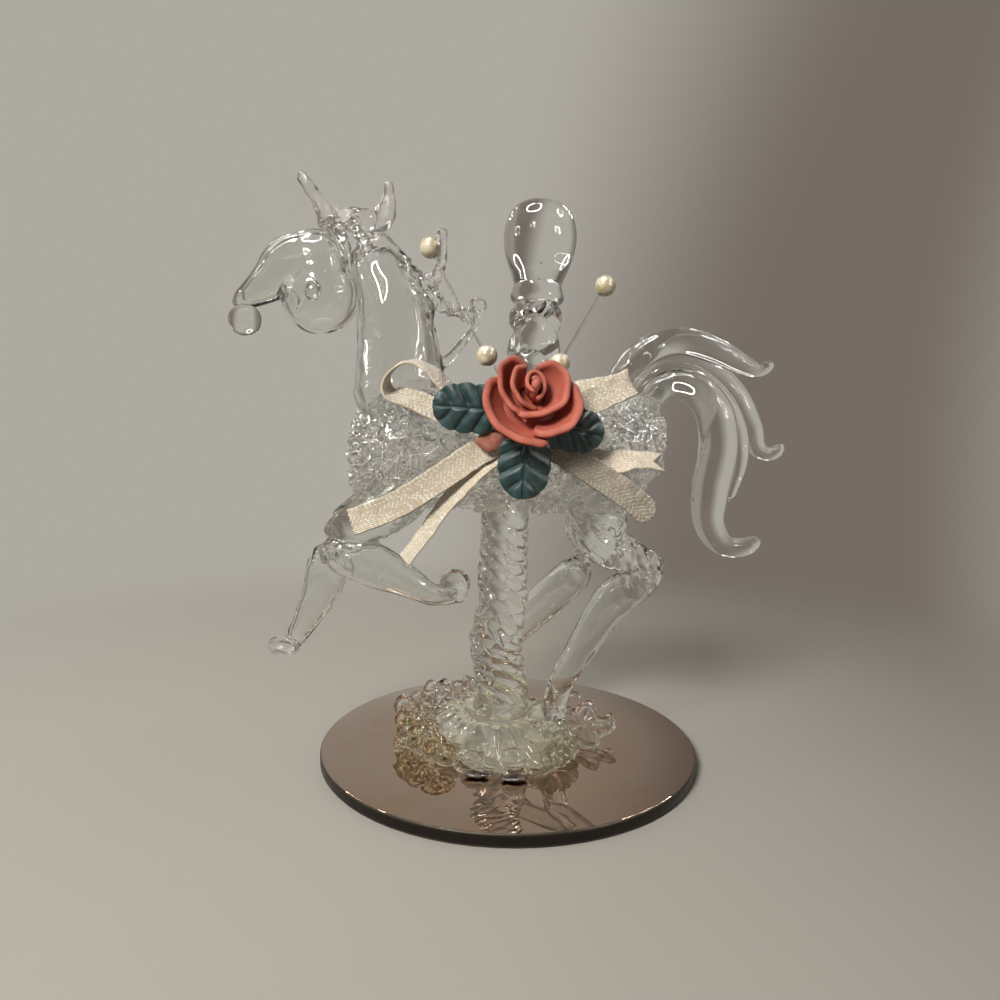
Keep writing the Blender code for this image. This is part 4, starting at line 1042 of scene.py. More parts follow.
    def add_star(self):
        """A web of glass pulled out into lobes, thick at its rim, with a knob and a curl beside it."""
        centre = Vector((12.4, -1.6, 4.9)) * MM
        lean = Matrix.Rotation(math.radians(14), 3, "X")
        columns, rows = 160, 24
        top, bottom = [], []
        for i in range(rows + 1):
            share = i / rows
            for j in range(columns):
                angle = 2 * math.pi * j / columns
                star = 0.80 + 0.16 * math.cos(5 * angle + 0.5) + 0.05 * math.sin(3 * angle + 1)
                rim = math.exp(-((share - 0.90) / 0.09) ** 2)
                thick = (0.22 + 0.78 * rim) * 0.00062
                if share > 0.9:
                    thick *= math.sqrt(max(0.0, 1 - ((share - 0.9) / 0.1) ** 2))
                lift = 0.0005 * math.sin(5 * angle + 2.0) * share ** 2
                vein = 0.00022 * max(0.0, math.cos(5 * angle + 0.5)) ** 6 * (1 - share)
                across, along = 5.6 * star * share * math.cos(angle), 7.0 * star * share * math.sin(angle)
                top.append(tuple(centre + lean @ Vector((across * MM, along * MM, thick + lift + vein))))
                bottom.append(tuple(centre + lean @ Vector((across * MM, along * MM, lift - thick))))
        upper = grid_faces(rows + 1, columns, True)
        lower = [tuple(len(top) + v for v in reversed(face)) for face in upper]
        web = outward(mesh_of("star", top + bottom, upper + lower), merge=0.000004)
        show("pulled_star", web, base_glass(), "clear_glass", "base_star_leaf")
        knob = ellipsoid(Vector((17.2, 0.6, 5.2)) * MM, (0.0009, 0.0008, 0.0008))
        curl = sweep([((12.2 + 1.5 * math.cos(a)) * MM, 9.4 * MM, (4.6 + 1.6 * math.sin(a)) * MM, 0.00045)
                      for a in (math.pi * (0.2 + 1.8 * i / 24) for i in range(25))], 14)
        mesh = outward(mesh_of("star_knob", *joined(knob, curl)))
        show("star_knob", mesh, base_glass(), "clear_glass")


class GLASSHORSE_OT_pole(bpy.types.Operator):
    """Builds the twisted pole, the stub on the horse's back and the pear finial"""
    bl_idname = "glass_horse.pole"
    bl_label = "Pole"
    bl_options = {"REGISTER", "UNDO"}

    def execute(self, context):
        self.add_lower()
        self.add_upper()
        return {"FINISHED"}

    def add_lower(self):
        """Six strands twisted into one bar, which leans and swells and is melted flatter behind."""
        foot, head = FOOT_TOP - 0.0006, BELLY.z + 0.0040
        axis = [(-1.3, 0.0, 6.4, 4.7), (-1.2, 0.0, 11.7, 4.45), (-1.7, 0.0, 14.8, 4.35),
                (-2.2, 0.0, 18.3, 4.45), (-1.6, 0.0, 22.0, 4.25), (-1.0, 0.0, 25.4, 4.1),
                (-1.2, 0.0, 29.5, 4.15), (-1.0, 0.0, 37.0, 3.95), (-1.0, 0.0, 43.6, 3.9)]
        table = np.array(axis) * MM
        line = resample(smooth_line(table), np.linspace(0, measured(smooth_line(table))[-1], 300))
        line = line[(line[:, 2] > foot) & (line[:, 2] < head)]
        rise = (line[:, 2] - foot) / (head - foot)
        turns = -2 * math.pi * (2.45 - 0.25 * rise) * rise + 0.30 * np.sin(rise * 13.0)

        def strands(angles):
            return 1 - 0.18 * (1 - np.abs(np.cos(3 * angles)) ** 0.6)

        sides = 168
        verts, faces = sweep(line, sides, 1.0, strands, turns)
        rings = verts[:-2].reshape(len(line), sides, 3)
        spoke = rings - line[:, None, :3]
        length = np.linalg.norm(spoke, axis=2, keepdims=True)
        melted = np.clip(spoke[:, :, 1:2] / length + 0.1, 0, 1) * 0.75
        smooth = 0.95 * line[:, 3][:, None, None]
        rings = line[:, None, :3] + spoke / length * (length * (1 - melted) + smooth * melted)
        verts = np.vstack([rings.reshape(-1, 3), verts[-2:]])
        mesh = outward(mesh_of("twisted_pole", ripple(verts, 0.00007, 0.0042, 5), faces))
        show_clear("twisted_pole", mesh, "pole_below_horse")

    def add_upper(self):
        """Two strands twisted into bulbous knots, with the pear drawn from their top."""
        foot, head = at(3.0, 0, 17.0), at(3.6, 0, 33.8)
        share = np.linspace(0, 1, 150)
        place = np.array(foot)[None, :] * (1 - share[:, None]) + np.array(head)[None, :] * share[:, None]
        radius = np.interp(share, np.linspace(0, 1, 6), (0.95, 1.0, 1.08, 0.98, 1.05, 0.88)) * 4.3 * MM
        line = np.column_stack([place, radius])

        def strands(angles):
            return 1 - 0.30 * (1 - np.abs(np.cos(angles)) ** 0.8)

        shape = sweep(line, 128, 1.0, strands, -2 * math.pi * 1.75 * share + 0.3 * np.sin(share * 9))
        mesh = outward(mesh_of("twisted_stub", ripple(shape[0], 0.0001, 0.005, 9), shape[1]))
        show_clear("twisted_stub", mesh, "pole_above_horse")
        profile = [(0.66, 0.0), (0.74, 0.06), (0.66, 0.17), (0.72, 0.25), (0.82, 0.33), (0.96, 0.50),
                   (1.0, 0.66), (0.90, 0.82), (0.68, 0.93), (0.36, 0.985), (0.04, 1.0)]
        rows = smooth_line([(r * 5.75 * MM, h * 16.0 * MM) for r, h in profile], 8)
        axis = (head - foot).normalized()
        skin = outward(mesh_of("finial_skin", *lathe(rows, 96, tuple(head), axis)))
        bubbles = [flipped(ellipsoid(head + Vector(place), size, None, 12, 8)) for place, size in (
            ((-0.0016, -0.0028, 0.0135), (0.00028, 0.00028, 0.00036)),
            ((-0.0030, -0.0016, 0.0098), (0.00014, 0.00014, 0.00022)),
            ((0.0004, -0.0012, 0.0062), (0.00016, 0.00016, 0.00020)),
            ((0.0002, -0.0010, 0.0036), (0.00020, 0.00020, 0.00020)))]
        mesh = mesh_of("pear_finial", *joined(shape_of(skin), *bubbles))
        show_clear("pear_finial", mesh, "pole_finial")


class GLASSHORSE_OT_barrel(bpy.types.Operator):
    """Spins the horse's body from curls of drawn thread"""
    bl_idname = "glass_horse.barrel"
    bl_label = "Spun body"
    bl_options = {"REGISTER", "UNDO"}

    def execute(self, context):
        values = context.scene.glass_horse
        glass = values.glass
        side_view = smooth_line(np.array((
            (-25.0, 9.0, 2.0), (-24.4, 9.2, 5.8), (-21.6, 9.7, 8.4), (-14.0, 10.3, 9.5), (-4.0, 10.1, 9.4),
            (6.0, 10.1, 9.4), (14.0, 10.5, 9.7), (19.6, 11.2, 8.4), (22.6, 12.2, 5.4), (23.4, 12.6, 2.0)))
            * MM, 12)
        wall = self.egg(side_view, 0.0010)
        mesh = fused("spun_body", joined(wall, *self.curls(glass, side_view)), detail=0.00013, rounds=1,
                     wave=0.00002)
        hollow = outward(mesh_of("hollow", *self.egg(side_view, 0.0015)))
        show("spun_body", blown(mesh, hollow), spun_glass(), "spun_glass", "horse_barrel")
        return {"FINISHED"}

    def egg(self, side_view, inset):
        """The crumpled wall of drawn glass that the curls lie on."""
        sides = 180
        angles = angles_round(sides)
        rings = []
        for x, z, r in side_view:
            reach = max(0.0004, r - inset)
            x = x * (1 - inset / 0.025)
            rings.append(np.column_stack([np.full(sides, x), BODY_DEPTH * reach * np.sin(angles),
                                          z + reach * np.cos(angles)]) + np.array(BELLY))
        verts = np.vstack(rings + [rings[0].mean(axis=0), rings[-1].mean(axis=0)])
        verts = ripple(verts, 0.00035, 0.0040, 33)
        return ripple(verts, 0.00032, 0.0015, 31), tube_faces(len(rings), sides)

    def curls(self, glass, side_view):
        """Curls of thread laid all over the egg of the body, each tipped its own way."""
        strides = np.hypot(np.diff(side_view[:, 0]), np.diff(side_view[:, 2]))
        walked = np.concatenate(([0.0], np.cumsum(strides)))
        draw = np.random.default_rng(7)
        girth = np.cumsum(side_view[:, 2])
        for _ in range(glass.curls):
            spot = np.interp(draw.uniform(0, girth[-1]), girth, walked)
            x, z, r = (np.interp(spot, walked, column) for column in side_view.T)
            around = draw.uniform(0, 2 * math.pi)
            rise = np.interp(spot + 0.0005, walked, side_view[:, 2]) - r
            normal = Vector((-rise * 800, math.sin(around), math.cos(around))).normalized()
            centre = BELLY + Vector((x, BODY_DEPTH * r * math.sin(around), z + r * math.cos(around)))
            tilt = draw.normal(0.0, 0.55)
            spin = draw.uniform(0, 2 * math.pi)
            flat = normal.orthogonal().normalized()
            flat.rotate(Matrix.Rotation(spin, 3, normal))
            lean = Matrix.Rotation(tilt, 3, flat)
            over = lean @ normal.cross(flat)
            size = glass.loop_radius * draw.uniform(0.4, 1.75)
            stretch = draw.uniform(0.45, 1.0)
            turns = draw.uniform(0.35, 1.1)
            thread = glass.thread_radius * draw.uniform(0.6, 1.65)
            steps = max(6, int(turns * 16))
            centre -= normal * (abs(math.sin(tilt)) * size * 0.6)
            stations = []
            for i in range(steps + 1):
                angle = 2 * math.pi * turns * i / steps
                grow = size * (1 - 0.35 * i / steps)
                taper = 0.55 + 0.45 * math.sin(math.pi * min(1, 0.12 + i / steps))
                place = (centre + flat * (grow * math.cos(angle)) + over * (grow * stretch * math.sin(angle))
                         + normal * (0.0003 * math.sin(3 * angle + spin)))
                stations.append((*place, thread * taper))
            yield sweep(stations, 8)


class GLASSHORSE_OT_head(bpy.types.Operator):
    """Melts the neck, head, ears, forelock and mane together"""
    bl_idname = "glass_horse.head"
    bl_label = "Head and neck"
    bl_options = {"REGISTER", "UNDO"}

    def execute(self, context):
        neck = horse_rod((
            (-24.2, 0, 44.0, 1.8), (-22.4, 0, 41.2, 3.9), (-19.5, 0, 34.5, 5.7), (-18.4, 0, 27.5, 6.4),
            (-18.0, 0, 20.6, 7.2), (-16.8, 0, 13.0, 7.6)), flatness=NECK_DEPTH)
        mane = (
            horse_rod(((-17.5, 0, 37.6, 1.2), (-13.8, 0, 36.6, 1.3), (-12.0, 0, 38.6, 0.9),
                       (-11.3, 0, 42.6, 0.75), (-11.6, 0, 45.2, 1.05))),
            horse_rod(((-13.6, 0, 36.6, 1.2), (-12.6, 0, 34.2, 1.1), (-9.6, 0, 32.4, 0.9),
                       (-6.6, 0, 32.2, 0.95), (-5.3, 0, 34.6, 1.7))),
            horse_rod(((-14.0, 0, 22.4, 1.2), (-10.6, 0, 24.6, 0.9), (-8.2, 0, 27.4, 0.7),
                       (-6.2, 0, 30.2, 0.7), (-6.2, 0, 32.0, 0.9))),
            horse_rod(((-16.0, -0.4, 38.4, 1.0), (-14.6, -0.8, 36.6, 0.9), (-13.6, -0.8, 34.2, 0.8),
                       (-13.2, -0.6, 32.0, 0.9))))
        empty = horse_rod((
            (-23.2, 0, 42.0, 1.6), (-22.2, 0, 40.0, 3.0), (-19.5, 0, 34.5, 4.7), (-18.4, 0, 27.5, 5.4),
            (-18.0, 0, 20.6, 6.2), (-16.8, 0, 14.6, 6.4)), flatness=NECK_DEPTH)
        spots = ((at(-12.4, 0, 36.0), 0.0034, 0.00045), (at(-9.0, 0, 31.6), 0.0036, 0.00038),
                 (at(-15.4, 0, 39.0), 0.0030, 0.00030))
        show_blown("glass_neck", joined(neck, *mane), empty, (
            "horse_neck", "mane_curl_upper", "mane_curl_middle", "mane_curl_lower"), spots, core_seed=5)
        brow = ((-31.4, 39.2, 5.2), (-34.2, 39.1, 4.7), (-36.2, 38.2, 4.2), (-38.2, 36.5, 3.3),
                (-40.5, 34.8, 2.5), (-42.6, 33.5, 1.7), (-44.2, 32.7, 1.05))
        cheek = ((-30.6, 35.8, 6.1), (-33.4, 36.4, 5.3), (-35.8, 36.4, 3.7))
        head = joined(
            horse_ball(-30.6, 0, 34.4, 6.1, 4.7, 6.1), horse_ball(-31.2, 0, 39.2, 5.3, 3.95, 5.35),
            *(horse_rod([(x, 0, z, r) for x, z, r in line], flatness=NECK_DEPTH, round_start=False)
              for line in (brow, cheek)))
        empty = joined(
            horse_ball(-30.6, 0, 34.4, 5.2, 3.8, 5.2), horse_ball(-31.2, 0, 39.2, 4.35, 3.0, 4.4),
            *(horse_rod([(x, 0, z, r - BLOWN_WALL) for x, z, r in line], flatness=CORE_DEPTH,
                        round_start=False) for line in (brow[:-1], cheek)))
        show_blown("glass_head", head, empty, ("horse_head",), core_seed=3, rounds=22, seed=2)
        beads = (("muzzle_drop", "horse_muzzle", horse_ball(-42.3, 0, 30.4, 2.55, 2.4, 2.5)),
                 ("near_eye", "horse_eye_near", horse_ball(-30.7, -4.4, 34.3, 1.25, 0.9, 1.6)),
                 ("far_eye", "horse_eye_far", horse_ball(-35.8, 3.9, 34.2, 1.1, 0.8, 1.8)))
        for seed, (name, node, shape) in enumerate(beads):
            mesh = outward(mesh_of(name, ripple(shape[0], 0.00003, 0.002, 60 + seed), shape[1]))
            show_clear(name, mesh, node)
        crest = horse_rod(((-28.6, -0.4, 45.4, 2.0), (-26.2, 0, 46.1, 1.8), (-24.0, 0.6, 46.1, 1.9),
                           (-21.6, 1.4, 46.2, 2.0)))
        near_ear = horse_rod(((-28.6, -1.0, 43.6, 1.9), (-28.9, -1.6, 45.4, 1.6), (-29.9, -2.2, 47.6, 1.15),
                              (-31.6, -2.6, 50.0, 0.9), (-33.0, -2.6, 52.3, 0.8)))
        far_ear = horse_rod(((-21.8, 1.2, 45.0, 1.9), (-21.0, 1.8, 46.9, 1.9), (-20.2, 2.0, 48.8, 1.4),
                             (-20.0, 2.0, 50.6, 0.95), (-20.0, 2.0, 52.5, 0.75)))
        drops = (
            horse_rod(((-25.2, -2.0, 45.4, 1.3), (-23.9, -4.4, 43.2, 1.0), (-22.6, -5.2, 40.9, 0.9))),
            horse_rod(((-28.2, -2.0, 45.0, 1.6), (-26.8, -3.9, 43.2, 1.2), (-25.9, -4.6, 41.2, 0.7))),
            horse_rod(((-29.0, 2.0, 45.0, 1.5), (-27.6, 3.8, 43.0, 1.1), (-26.6, 4.4, 41.4, 0.8))))
        mesh = fused("glass_crest", joined(crest, near_ear, far_ear, *drops), detail=0.00018, rounds=7,
                     wave=0.00011, wave_length=0.0022, seed=8)
        show_clear("glass_crest", mesh, "horse_poll", "horse_ear_near", "horse_ear_far", "horse_forelock")
        return {"FINISHED"}


class GLASSHORSE_OT_legs(bpy.types.Operator):
    """Melts each leg's rods into one hollow piece of glass"""
    bl_idname = "glass_horse.legs"
    bl_label = "Legs"
    bl_options = {"REGISTER", "UNDO"}

    def execute(self, context):
        flat = {"flatness": LIMB_DEPTH}
        core = {"flatness": CORE_DEPTH}
        near = joined(
            horse_rod(((-15.0, -3.4, 7.0, 4.4), (-18.4, -4.0, 2.6, 4.4), (-23.2, -4.3, -0.4, 4.1),
                       (-28.8, -4.4, -3.4, 2.7)), **flat),
            horse_rod(((-29.8, -4.6, -5.0, 2.1), (-26.4, -4.8, -6.0, 3.1), (-21.6, -4.9, -7.6, 3.5),
                       (-16.2, -5.0, -10.2, 2.5), (-12.6, -5.0, -12.1, 1.75), (-9.8, -5.0, -12.0, 1.75),
                       (-8.2, -5.0, -11.2, 2.2), (-8.5, -5.0, -10.2, 2.1)), **flat),
            horse_ball(-8.9, -5.0, -10.4, 2.5, 2.2, 2.4))
        far = joined(
            horse_rod(((-15.4, 3.4, 7.0, 4.4), (-18.8, 3.9, 1.4, 4.2), (-24.4, 4.0, -1.6, 3.6),
                       (-29.8, 4.0, -4.4, 2.6)), **flat),
            horse_rod(((-30.6, 3.9, -5.2, 2.7), (-30.4, 3.8, -9.6, 3.5), (-31.5, 3.7, -13.6, 3.1),
                       (-33.3, 3.6, -17.2, 2.4), (-35.6, 3.5, -21.2, 1.75), (-37.0, 3.5, -22.8, 1.7)),
                      **flat),
            horse_ball(-37.7, 3.5, -23.0, 3.1, 2.7, 1.5,
                       turn=Vector((-0.25, 0.0, -1.0)).to_track_quat("Z", "Y").to_matrix()))
        near_core = horse_rod((
            (-28.6, -4.7, -5.4, 0.5), (-26.4, -4.8, -6.1, 2.1), (-21.6, -4.9, -7.6, 2.9),
            (-16.2, -5.0, -10.2, 1.95), (-12.6, -5.0, -12.1, 1.25), (-9.8, -5.0, -11.9, 1.1),
            (-8.5, -5.0, -10.9, 0.6)), **core)
        far_core = horse_rod((
            (-30.3, 3.9, -5.6, 0.6), (-30.4, 3.8, -9.6, 2.9), (-31.5, 3.7, -13.6, 2.5),
            (-33.3, 3.6, -17.2, 1.85), (-35.4, 3.5, -20.9, 1.15), (-36.6, 3.5, -22.3, 0.5)), **core)
        show_blown("near_foreleg", near, near_core, ("foreleg_near_upper", "foreleg_near_lower"), (
            (at(-27.8, -5, -5.0), 0.0034, 0.00034), (at(-9.1, -5, -10.8), 0.0026, 0.00020),
            (at(-18.0, -4, 0.0), 0.0050, 0.00010)), detail=0.0002, seed=3)
        show_blown("far_foreleg", far, far_core, (
            "foreleg_far_upper", "foreleg_far_lower", "foreleg_far_hoof"), (
            (at(-37.7, 3.5, -23.0), 0.0026, 0.00022), (at(-30.2, 4, -5.0), 0.0026, 0.00022)),
            detail=0.0002, seed=4)
        reach, angle = FOOT_RADIUS - 0.0010, math.radians(-38)
        stand = Vector(round_foot(reach, angle, FOOT_BOTTOM + 0.0028))
        ankle = (stand + Vector((0.0, 0.0, 0.0014)) - BELLY) / MM
        near = joined(
            horse_rod(((12.6, -3.4, 9.6, 6.0), (13.4, -4.4, 4.0, 5.0), (13.6, -4.8, 0.2, 4.5),
                       (14.6, -4.9, -3.4, 3.9), (17.8, -5.0, -5.6, 3.0), (21.4, -5.0, -6.7, 2.1),
                       (24.2, -5.0, -7.4, 1.4)), **flat),
            horse_rod(((24.0, -5.0, -7.8, 1.4), (20.6, -4.9, -9.8, 2.8), (17.2, -4.8, -12.2, 3.3),
                       (14.8, -4.7, -14.8, 3.0), (11.6, -4.7, -20.4, 2.5), (8.4, -4.8, -26.0, 2.1),
                       (*ankle, 2.0)), **flat),
            ellipsoid(stand, (0.0032, 0.0027, 0.0016)))
        far = joined(
            horse_rod(((13.0, 3.4, 9.6, 6.0), (14.6, 4.6, 4.0, 5.6), (14.2, 5.0, -3.0, 4.6),
                       (13.2, 5.0, -8.4, 3.1)), **flat),
            horse_rod(((13.4, 5.0, -8.4, 2.7), (9.2, 6.2, -13.2, 3.3), (4.2, 7.6, -18.2, 3.0),
                       (-0.9, 8.2, -24.4, 2.2)), **flat))
        near_core = horse_rod((
            (22.6, -5.0, -8.7, 0.5), (20.4, -4.9, -9.9, 2.0), (17.2, -4.8, -12.3, 2.7),
            (14.8, -4.7, -14.8, 2.45), (11.6, -4.7, -20.4, 1.95), (8.4, -4.8, -26.0, 1.5),
            (7.5, -5.0, -28.6, 0.5)), **core)
        far_core = horse_rod((
            (13.4, 5.1, -8.8, 0.5), (12.2, 5.4, -10.0, 2.0), (9.2, 6.2, -13.2, 2.75),
            (4.2, 7.6, -18.2, 2.45), (0.2, 8.1, -23.2, 1.5), (-0.8, 8.2, -24.3, 0.5)), **core)
        show_blown("near_hindleg", near, near_core, (
            "hindleg_near_upper", "hindleg_near_lower", "hindleg_near_hoof"), (
            (at(13.4, -5, -1.0), 0.0055, 0.00030), (at(21.6, -5, -8.6), 0.0040, 0.00030),
            (stand, 0.0034, 0.00034)), detail=0.0002, seed=5)
        show_blown("far_hindleg", far, far_core, ("hindleg_far_upper", "hindleg_far_lower"),
                   ((at(13.0, 5, -6.0), 0.0045, 0.00028),), seed=6)
        return {"FINISHED"}


class GLASSHORSE_OT_tail(bpy.types.Operator):
    """Builds the four drawn curls of the tail"""
    bl_idname = "glass_horse.tail"
    bl_label = "Tail"
    bl_options = {"REGISTER", "UNDO"}

    def execute(self, context):
        curls = {
            "great": ((20.2, -3.0, 16.4, 1.7), (23.4, -3.2, 20.8, 2.0), (27.6, -3.4, 20.9, 2.5),
                      (31.4, -3.6, 17.4, 2.9), (32.5, -3.6, 11.2, 3.0), (31.4, -3.6, 4.6, 2.9),
                      (31.6, -3.6, -0.9, 2.4), (34.0, -3.6, -4.1, 1.8), (37.3, -3.6, -4.5, 1.5),
                      (39.8, -3.6, -3.1, 1.1)),
            "inner": ((19.6, 0.8, 17.6, 1.7), (23.4, 1.2, 22.4, 2.1), (29.2, 1.6, 22.6, 2.3),
                      (34.6, 1.8, 18.6, 2.1), (37.5, 1.8, 12.8, 1.8), (37.7, 1.6, 7.6, 1.2),
                      (36.0, 0.8, 2.6, 0.8)),
            "outer": ((16.4, 4.4, 17.4, 1.8), (19.8, 5.0, 23.6, 2.3), (24.6, 5.6, 25.8, 2.7),
                      (31.0, 6.0, 25.0, 2.7), (37.2, 6.0, 20.8, 2.5), (40.8, 5.8, 15.2, 2.1),
                      (42.4, 5.6, 11.2, 1.5), (44.8, 5.4, 10.2, 1.1), (46.6, 5.4, 11.8, 0.9)),
            "top": ((15.4, 0.2, 18.6, 1.8), (18.8, 0.4, 24.2, 2.2), (22.8, 0.6, 27.4, 2.3),
                    (27.4, 0.8, 28.4, 2.2), (33.2, 1.0, 27.0, 2.1), (38.2, 1.4, 24.6, 1.6),
                    (40.8, 1.6, 24.0, 1.1), (42.8, 1.6, 25.4, 0.8)),
        }
        for seed, (name, stations) in enumerate(curls.items()):
            verts, faces = horse_rod(stations, spacing=0.0004, sides=40)
            mesh = outward(mesh_of(f"tail_{name}", ripple(verts, 0.00004, 0.006, 20 + seed), faces))
            show_clear(f"drawn_tail_{name}", mesh, f"tail_{name}_curl")
        return {"FINISHED"}


class GLASSHORSE_OT_bow(bpy.types.Operator):
    """Builds the satin bow and the glue behind it"""
    bl_idname = "glass_horse.bow"
    bl_label = "Bow"
    bl_options = {"REGISTER", "UNDO"}

    def execute(self, context):
        values = context.scene.glass_horse
        bright = self.satin("satin_bright", values.bow, 1.0)
        # The right wide tail gets the satin darkened to 0.47: painted shade where it lacks the sheen of the
        # other strips.
        shaded_satin = self.satin("satin_painted_shade", values.bow, 0.47)
        cuts = {"ribbon_tail_left_wide": "frayed", "ribbon_tail_right_wide": "round",
                "ribbon_tail_right_narrow": "swallow"}
        for name, stations in self.routes().items():
            satin = shaded_satin if name == "ribbon_tail_right_wide" else bright
            self.add_strip(name, stations, satin, values.bow.ribbon_width, cuts.get(name, "square"),
                           name == "ribbon_loop_right")
        self.add_knot(bright)
        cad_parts["bow_glue_dab"].material_slots[0].material = bpy.data.materials["yellowed_glue"]
        return {"FINISHED"}

    def add_knot(self, satin):
        """The ribbon wound twice round the middle of the bow."""
        low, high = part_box("ribbon_knot")
        centre, half = (low + high) / 2, (high - low) / 2
        sides, columns = 72, 11
        verts, uvs = [], []
        for i in range(sides):
            angle = 2 * math.pi * i / sides
            fold = 1 + 0.05 * math.sin(3 * angle) + 0.03 * math.sin(7 * angle + 1)
            for j in range(columns):
                share = 2 * j / (columns - 1) - 1
                pinch = 1 - 0.16 * share * share + 0.05 * math.cos(4 * math.pi * share)
                verts.append((centre.x + half.x * 0.86 * share,
                              centre.y - half.y * 0.96 * pinch * fold * math.sin(angle),
                              centre.z + half.z * 0.96 * pinch * fold * math.cos(angle)))
                uvs.append((j / (columns - 1), angle * 0.0022))
        faces = []
        for i in range(sides):
            for j in range(columns - 1):
                after = (i + 1) % sides
                faces.append((i * columns + j, after * columns + j, after * columns + j + 1,
                              i * columns + j + 1))
        faces.append(tuple(i * columns for i in range(sides)))
        faces.append(tuple(i * columns + columns - 1 for i in reversed(range(sides))))
        mesh = cloth(mesh_of("ribbon_knot_cloth", verts, faces), uvs)
        show("satin_knot", outward(mesh), satin, "satin_ribbon", "ribbon_knot")

    def routes(self):
        """x, y, z from the belly line, and how far the ribbon is turned from facing the viewer."""
        return {
            "ribbon_loop_left": (
                (0.3, -9.5, 15.2, 150), (-4.5, -9.4, 16.0, 136), (-8.2, -9.5, 17.6, 126),
                (-10.6, -9.6, 20.2, 120), (-12.2, -9.5, 22.0, 112), (-14.6, -9.4, 23.3, 106),
                (-17.0, -9.5, 23.1, 98), (-18.7, -9.8, 21.2, 86), (-18.4, -10.2, 19.0, 62),
                (-15.1, -10.4, 18.0, 42), (-11.6, -10.5, 16.6, 30), (-5.6, -10.6, 15.4, 12),
                (-1.0, -10.6, 15.0, 4)),
            "ribbon_loop_right": (
                (2.0, -10.7, 14.0, 0), (7.0, -10.8, 16.1, 0), (11.2, -10.9, 18.1, 0), (14.0, -10.9, 19.5, 0),
                (15.8, -10.8, 20.4, 0), (16.8, -10.55, 20.92, 0), (17.1, -10.15, 21.07, 0),
                (16.8, -9.75, 20.92, 0), (15.7, -9.5, 20.4, 0), (13.9, -9.4, 19.9, 0), (11.5, -9.4, 19.5, 0),
                (8.6, -9.5, 18.9, 0), (3.2, -9.7, 16.8, 0)),
            "ribbon_tail_left_wide": (
                (0.0, -10.1, 12.8, 4), (-5.0, -10.2, 10.6, 4), (-10.6, -10.4, 6.8, 6),
                (-17.6, -10.3, 2.4, 4), (-24.3, -9.9, -0.35, 2)),
            "ribbon_tail_left_narrow": (
                (-0.4, -9.2, 12.4, -12), (-5.0, -9.3, 8.6, -36), (-9.6, -9.2, 3.4, -54),
                (-13.2, -9.3, -1.6, -60), (-16.4, -9.6, -6.0, -60)),
            "ribbon_tail_right_wide": (
                (1.6, -10.45, 13.4, 4), (6.4, -10.45, 10.8, 4), (11.6, -10.8, 7.6, 6), (16.8, -11.4, 4.2, 4),
                (20.4, -11.8, 1.0, 2)),
            "ribbon_tail_right_narrow": (
                (3.2, -9.1, 12.9, 4), (7.6, -9.1, 10.5, 6), (13.2, -9.3, 9.0, 20), (18.2, -9.4, 9.6, 50),
                (22.4, -9.4, 9.2, 54)),
        }

    def satin(self, name, bow, fade):
        """Satin with floats of thread laid like bricks along the strip's own width and length."""
        made, tree, shader = blank_material(name, Sheen_Weight=0.35, Sheen_Roughness=0.35)
        woven = value_node(tree, "ShaderNodeSeparateXYZ", {0: tree.nodes.new("ShaderNodeUVMap").outputs[0]})
        across = times(tree, woven.outputs["X"], 13.0)
        row = maths(tree, "FLOOR", across)
        in_row = maths(tree, "FRACT", across)
        shift = value_node(tree, "ShaderNodeTexWhiteNoise", {"W": row}, noise_dimensions="1D")
        along = maths(tree, "ADD", times(tree, woven.outputs["Y"], 1 / 0.00070),
                      times(tree, shift.outputs["Value"], 7.0))
        in_float = maths(tree, "FRACT", along)
        crown = times(tree, maths(tree, "SINE", times(tree, in_row, math.pi)),
                      maths(tree, "SINE", times(tree, in_float, math.pi)))
        pick = value_node(tree, "ShaderNodeTexWhiteNoise", {
            "Vector": value_node(tree, "ShaderNodeCombineXYZ", {
                "X": row, "Y": maths(tree, "FLOOR", along)}).outputs[0]})
        slub = noise_node(tree, object_place(tree), 900.0, detail=3.0)
        # The floats are lighter than the ground between them: the weave's own pattern, with painted glints
        # on the floats, which also get lower roughness.
        lit = times(tree, ramp(tree, crown, 0.15, 0.6),
                    ramp(tree, pick.outputs["Value"], 0.1, 0.8, 0.2, 1.0))
        # fade below 1 darkens the whole satin into a painted-shade copy.
        light = tinted(bow.ribbon_colour, (fade, fade, fade))
        colour = blend_colours(tree, lit, tinted(light, (0.60, 0.52, 0.41)), light)
        soft = noise_node(tree, object_place(tree), 160.0, detail=2.0)
        colour = blend_colours(tree, ramp(tree, soft.outputs["Fac"], 0.3, 0.75, 0.0, 0.35), colour,
                               tinted(light, (0.92, 0.78, 0.70)))
        link(tree, colour, shader.inputs["Base Color"])
        link(tree, ramp(tree, lit, 0.0, 1.0, 0.60, 0.24), shader.inputs["Roughness"])
        height = maths(tree, "ADD", crown, times(tree, slub.outputs["Fac"], 0.5))
        bump(tree, shader, height, 1.0, 0.00012)
        return made

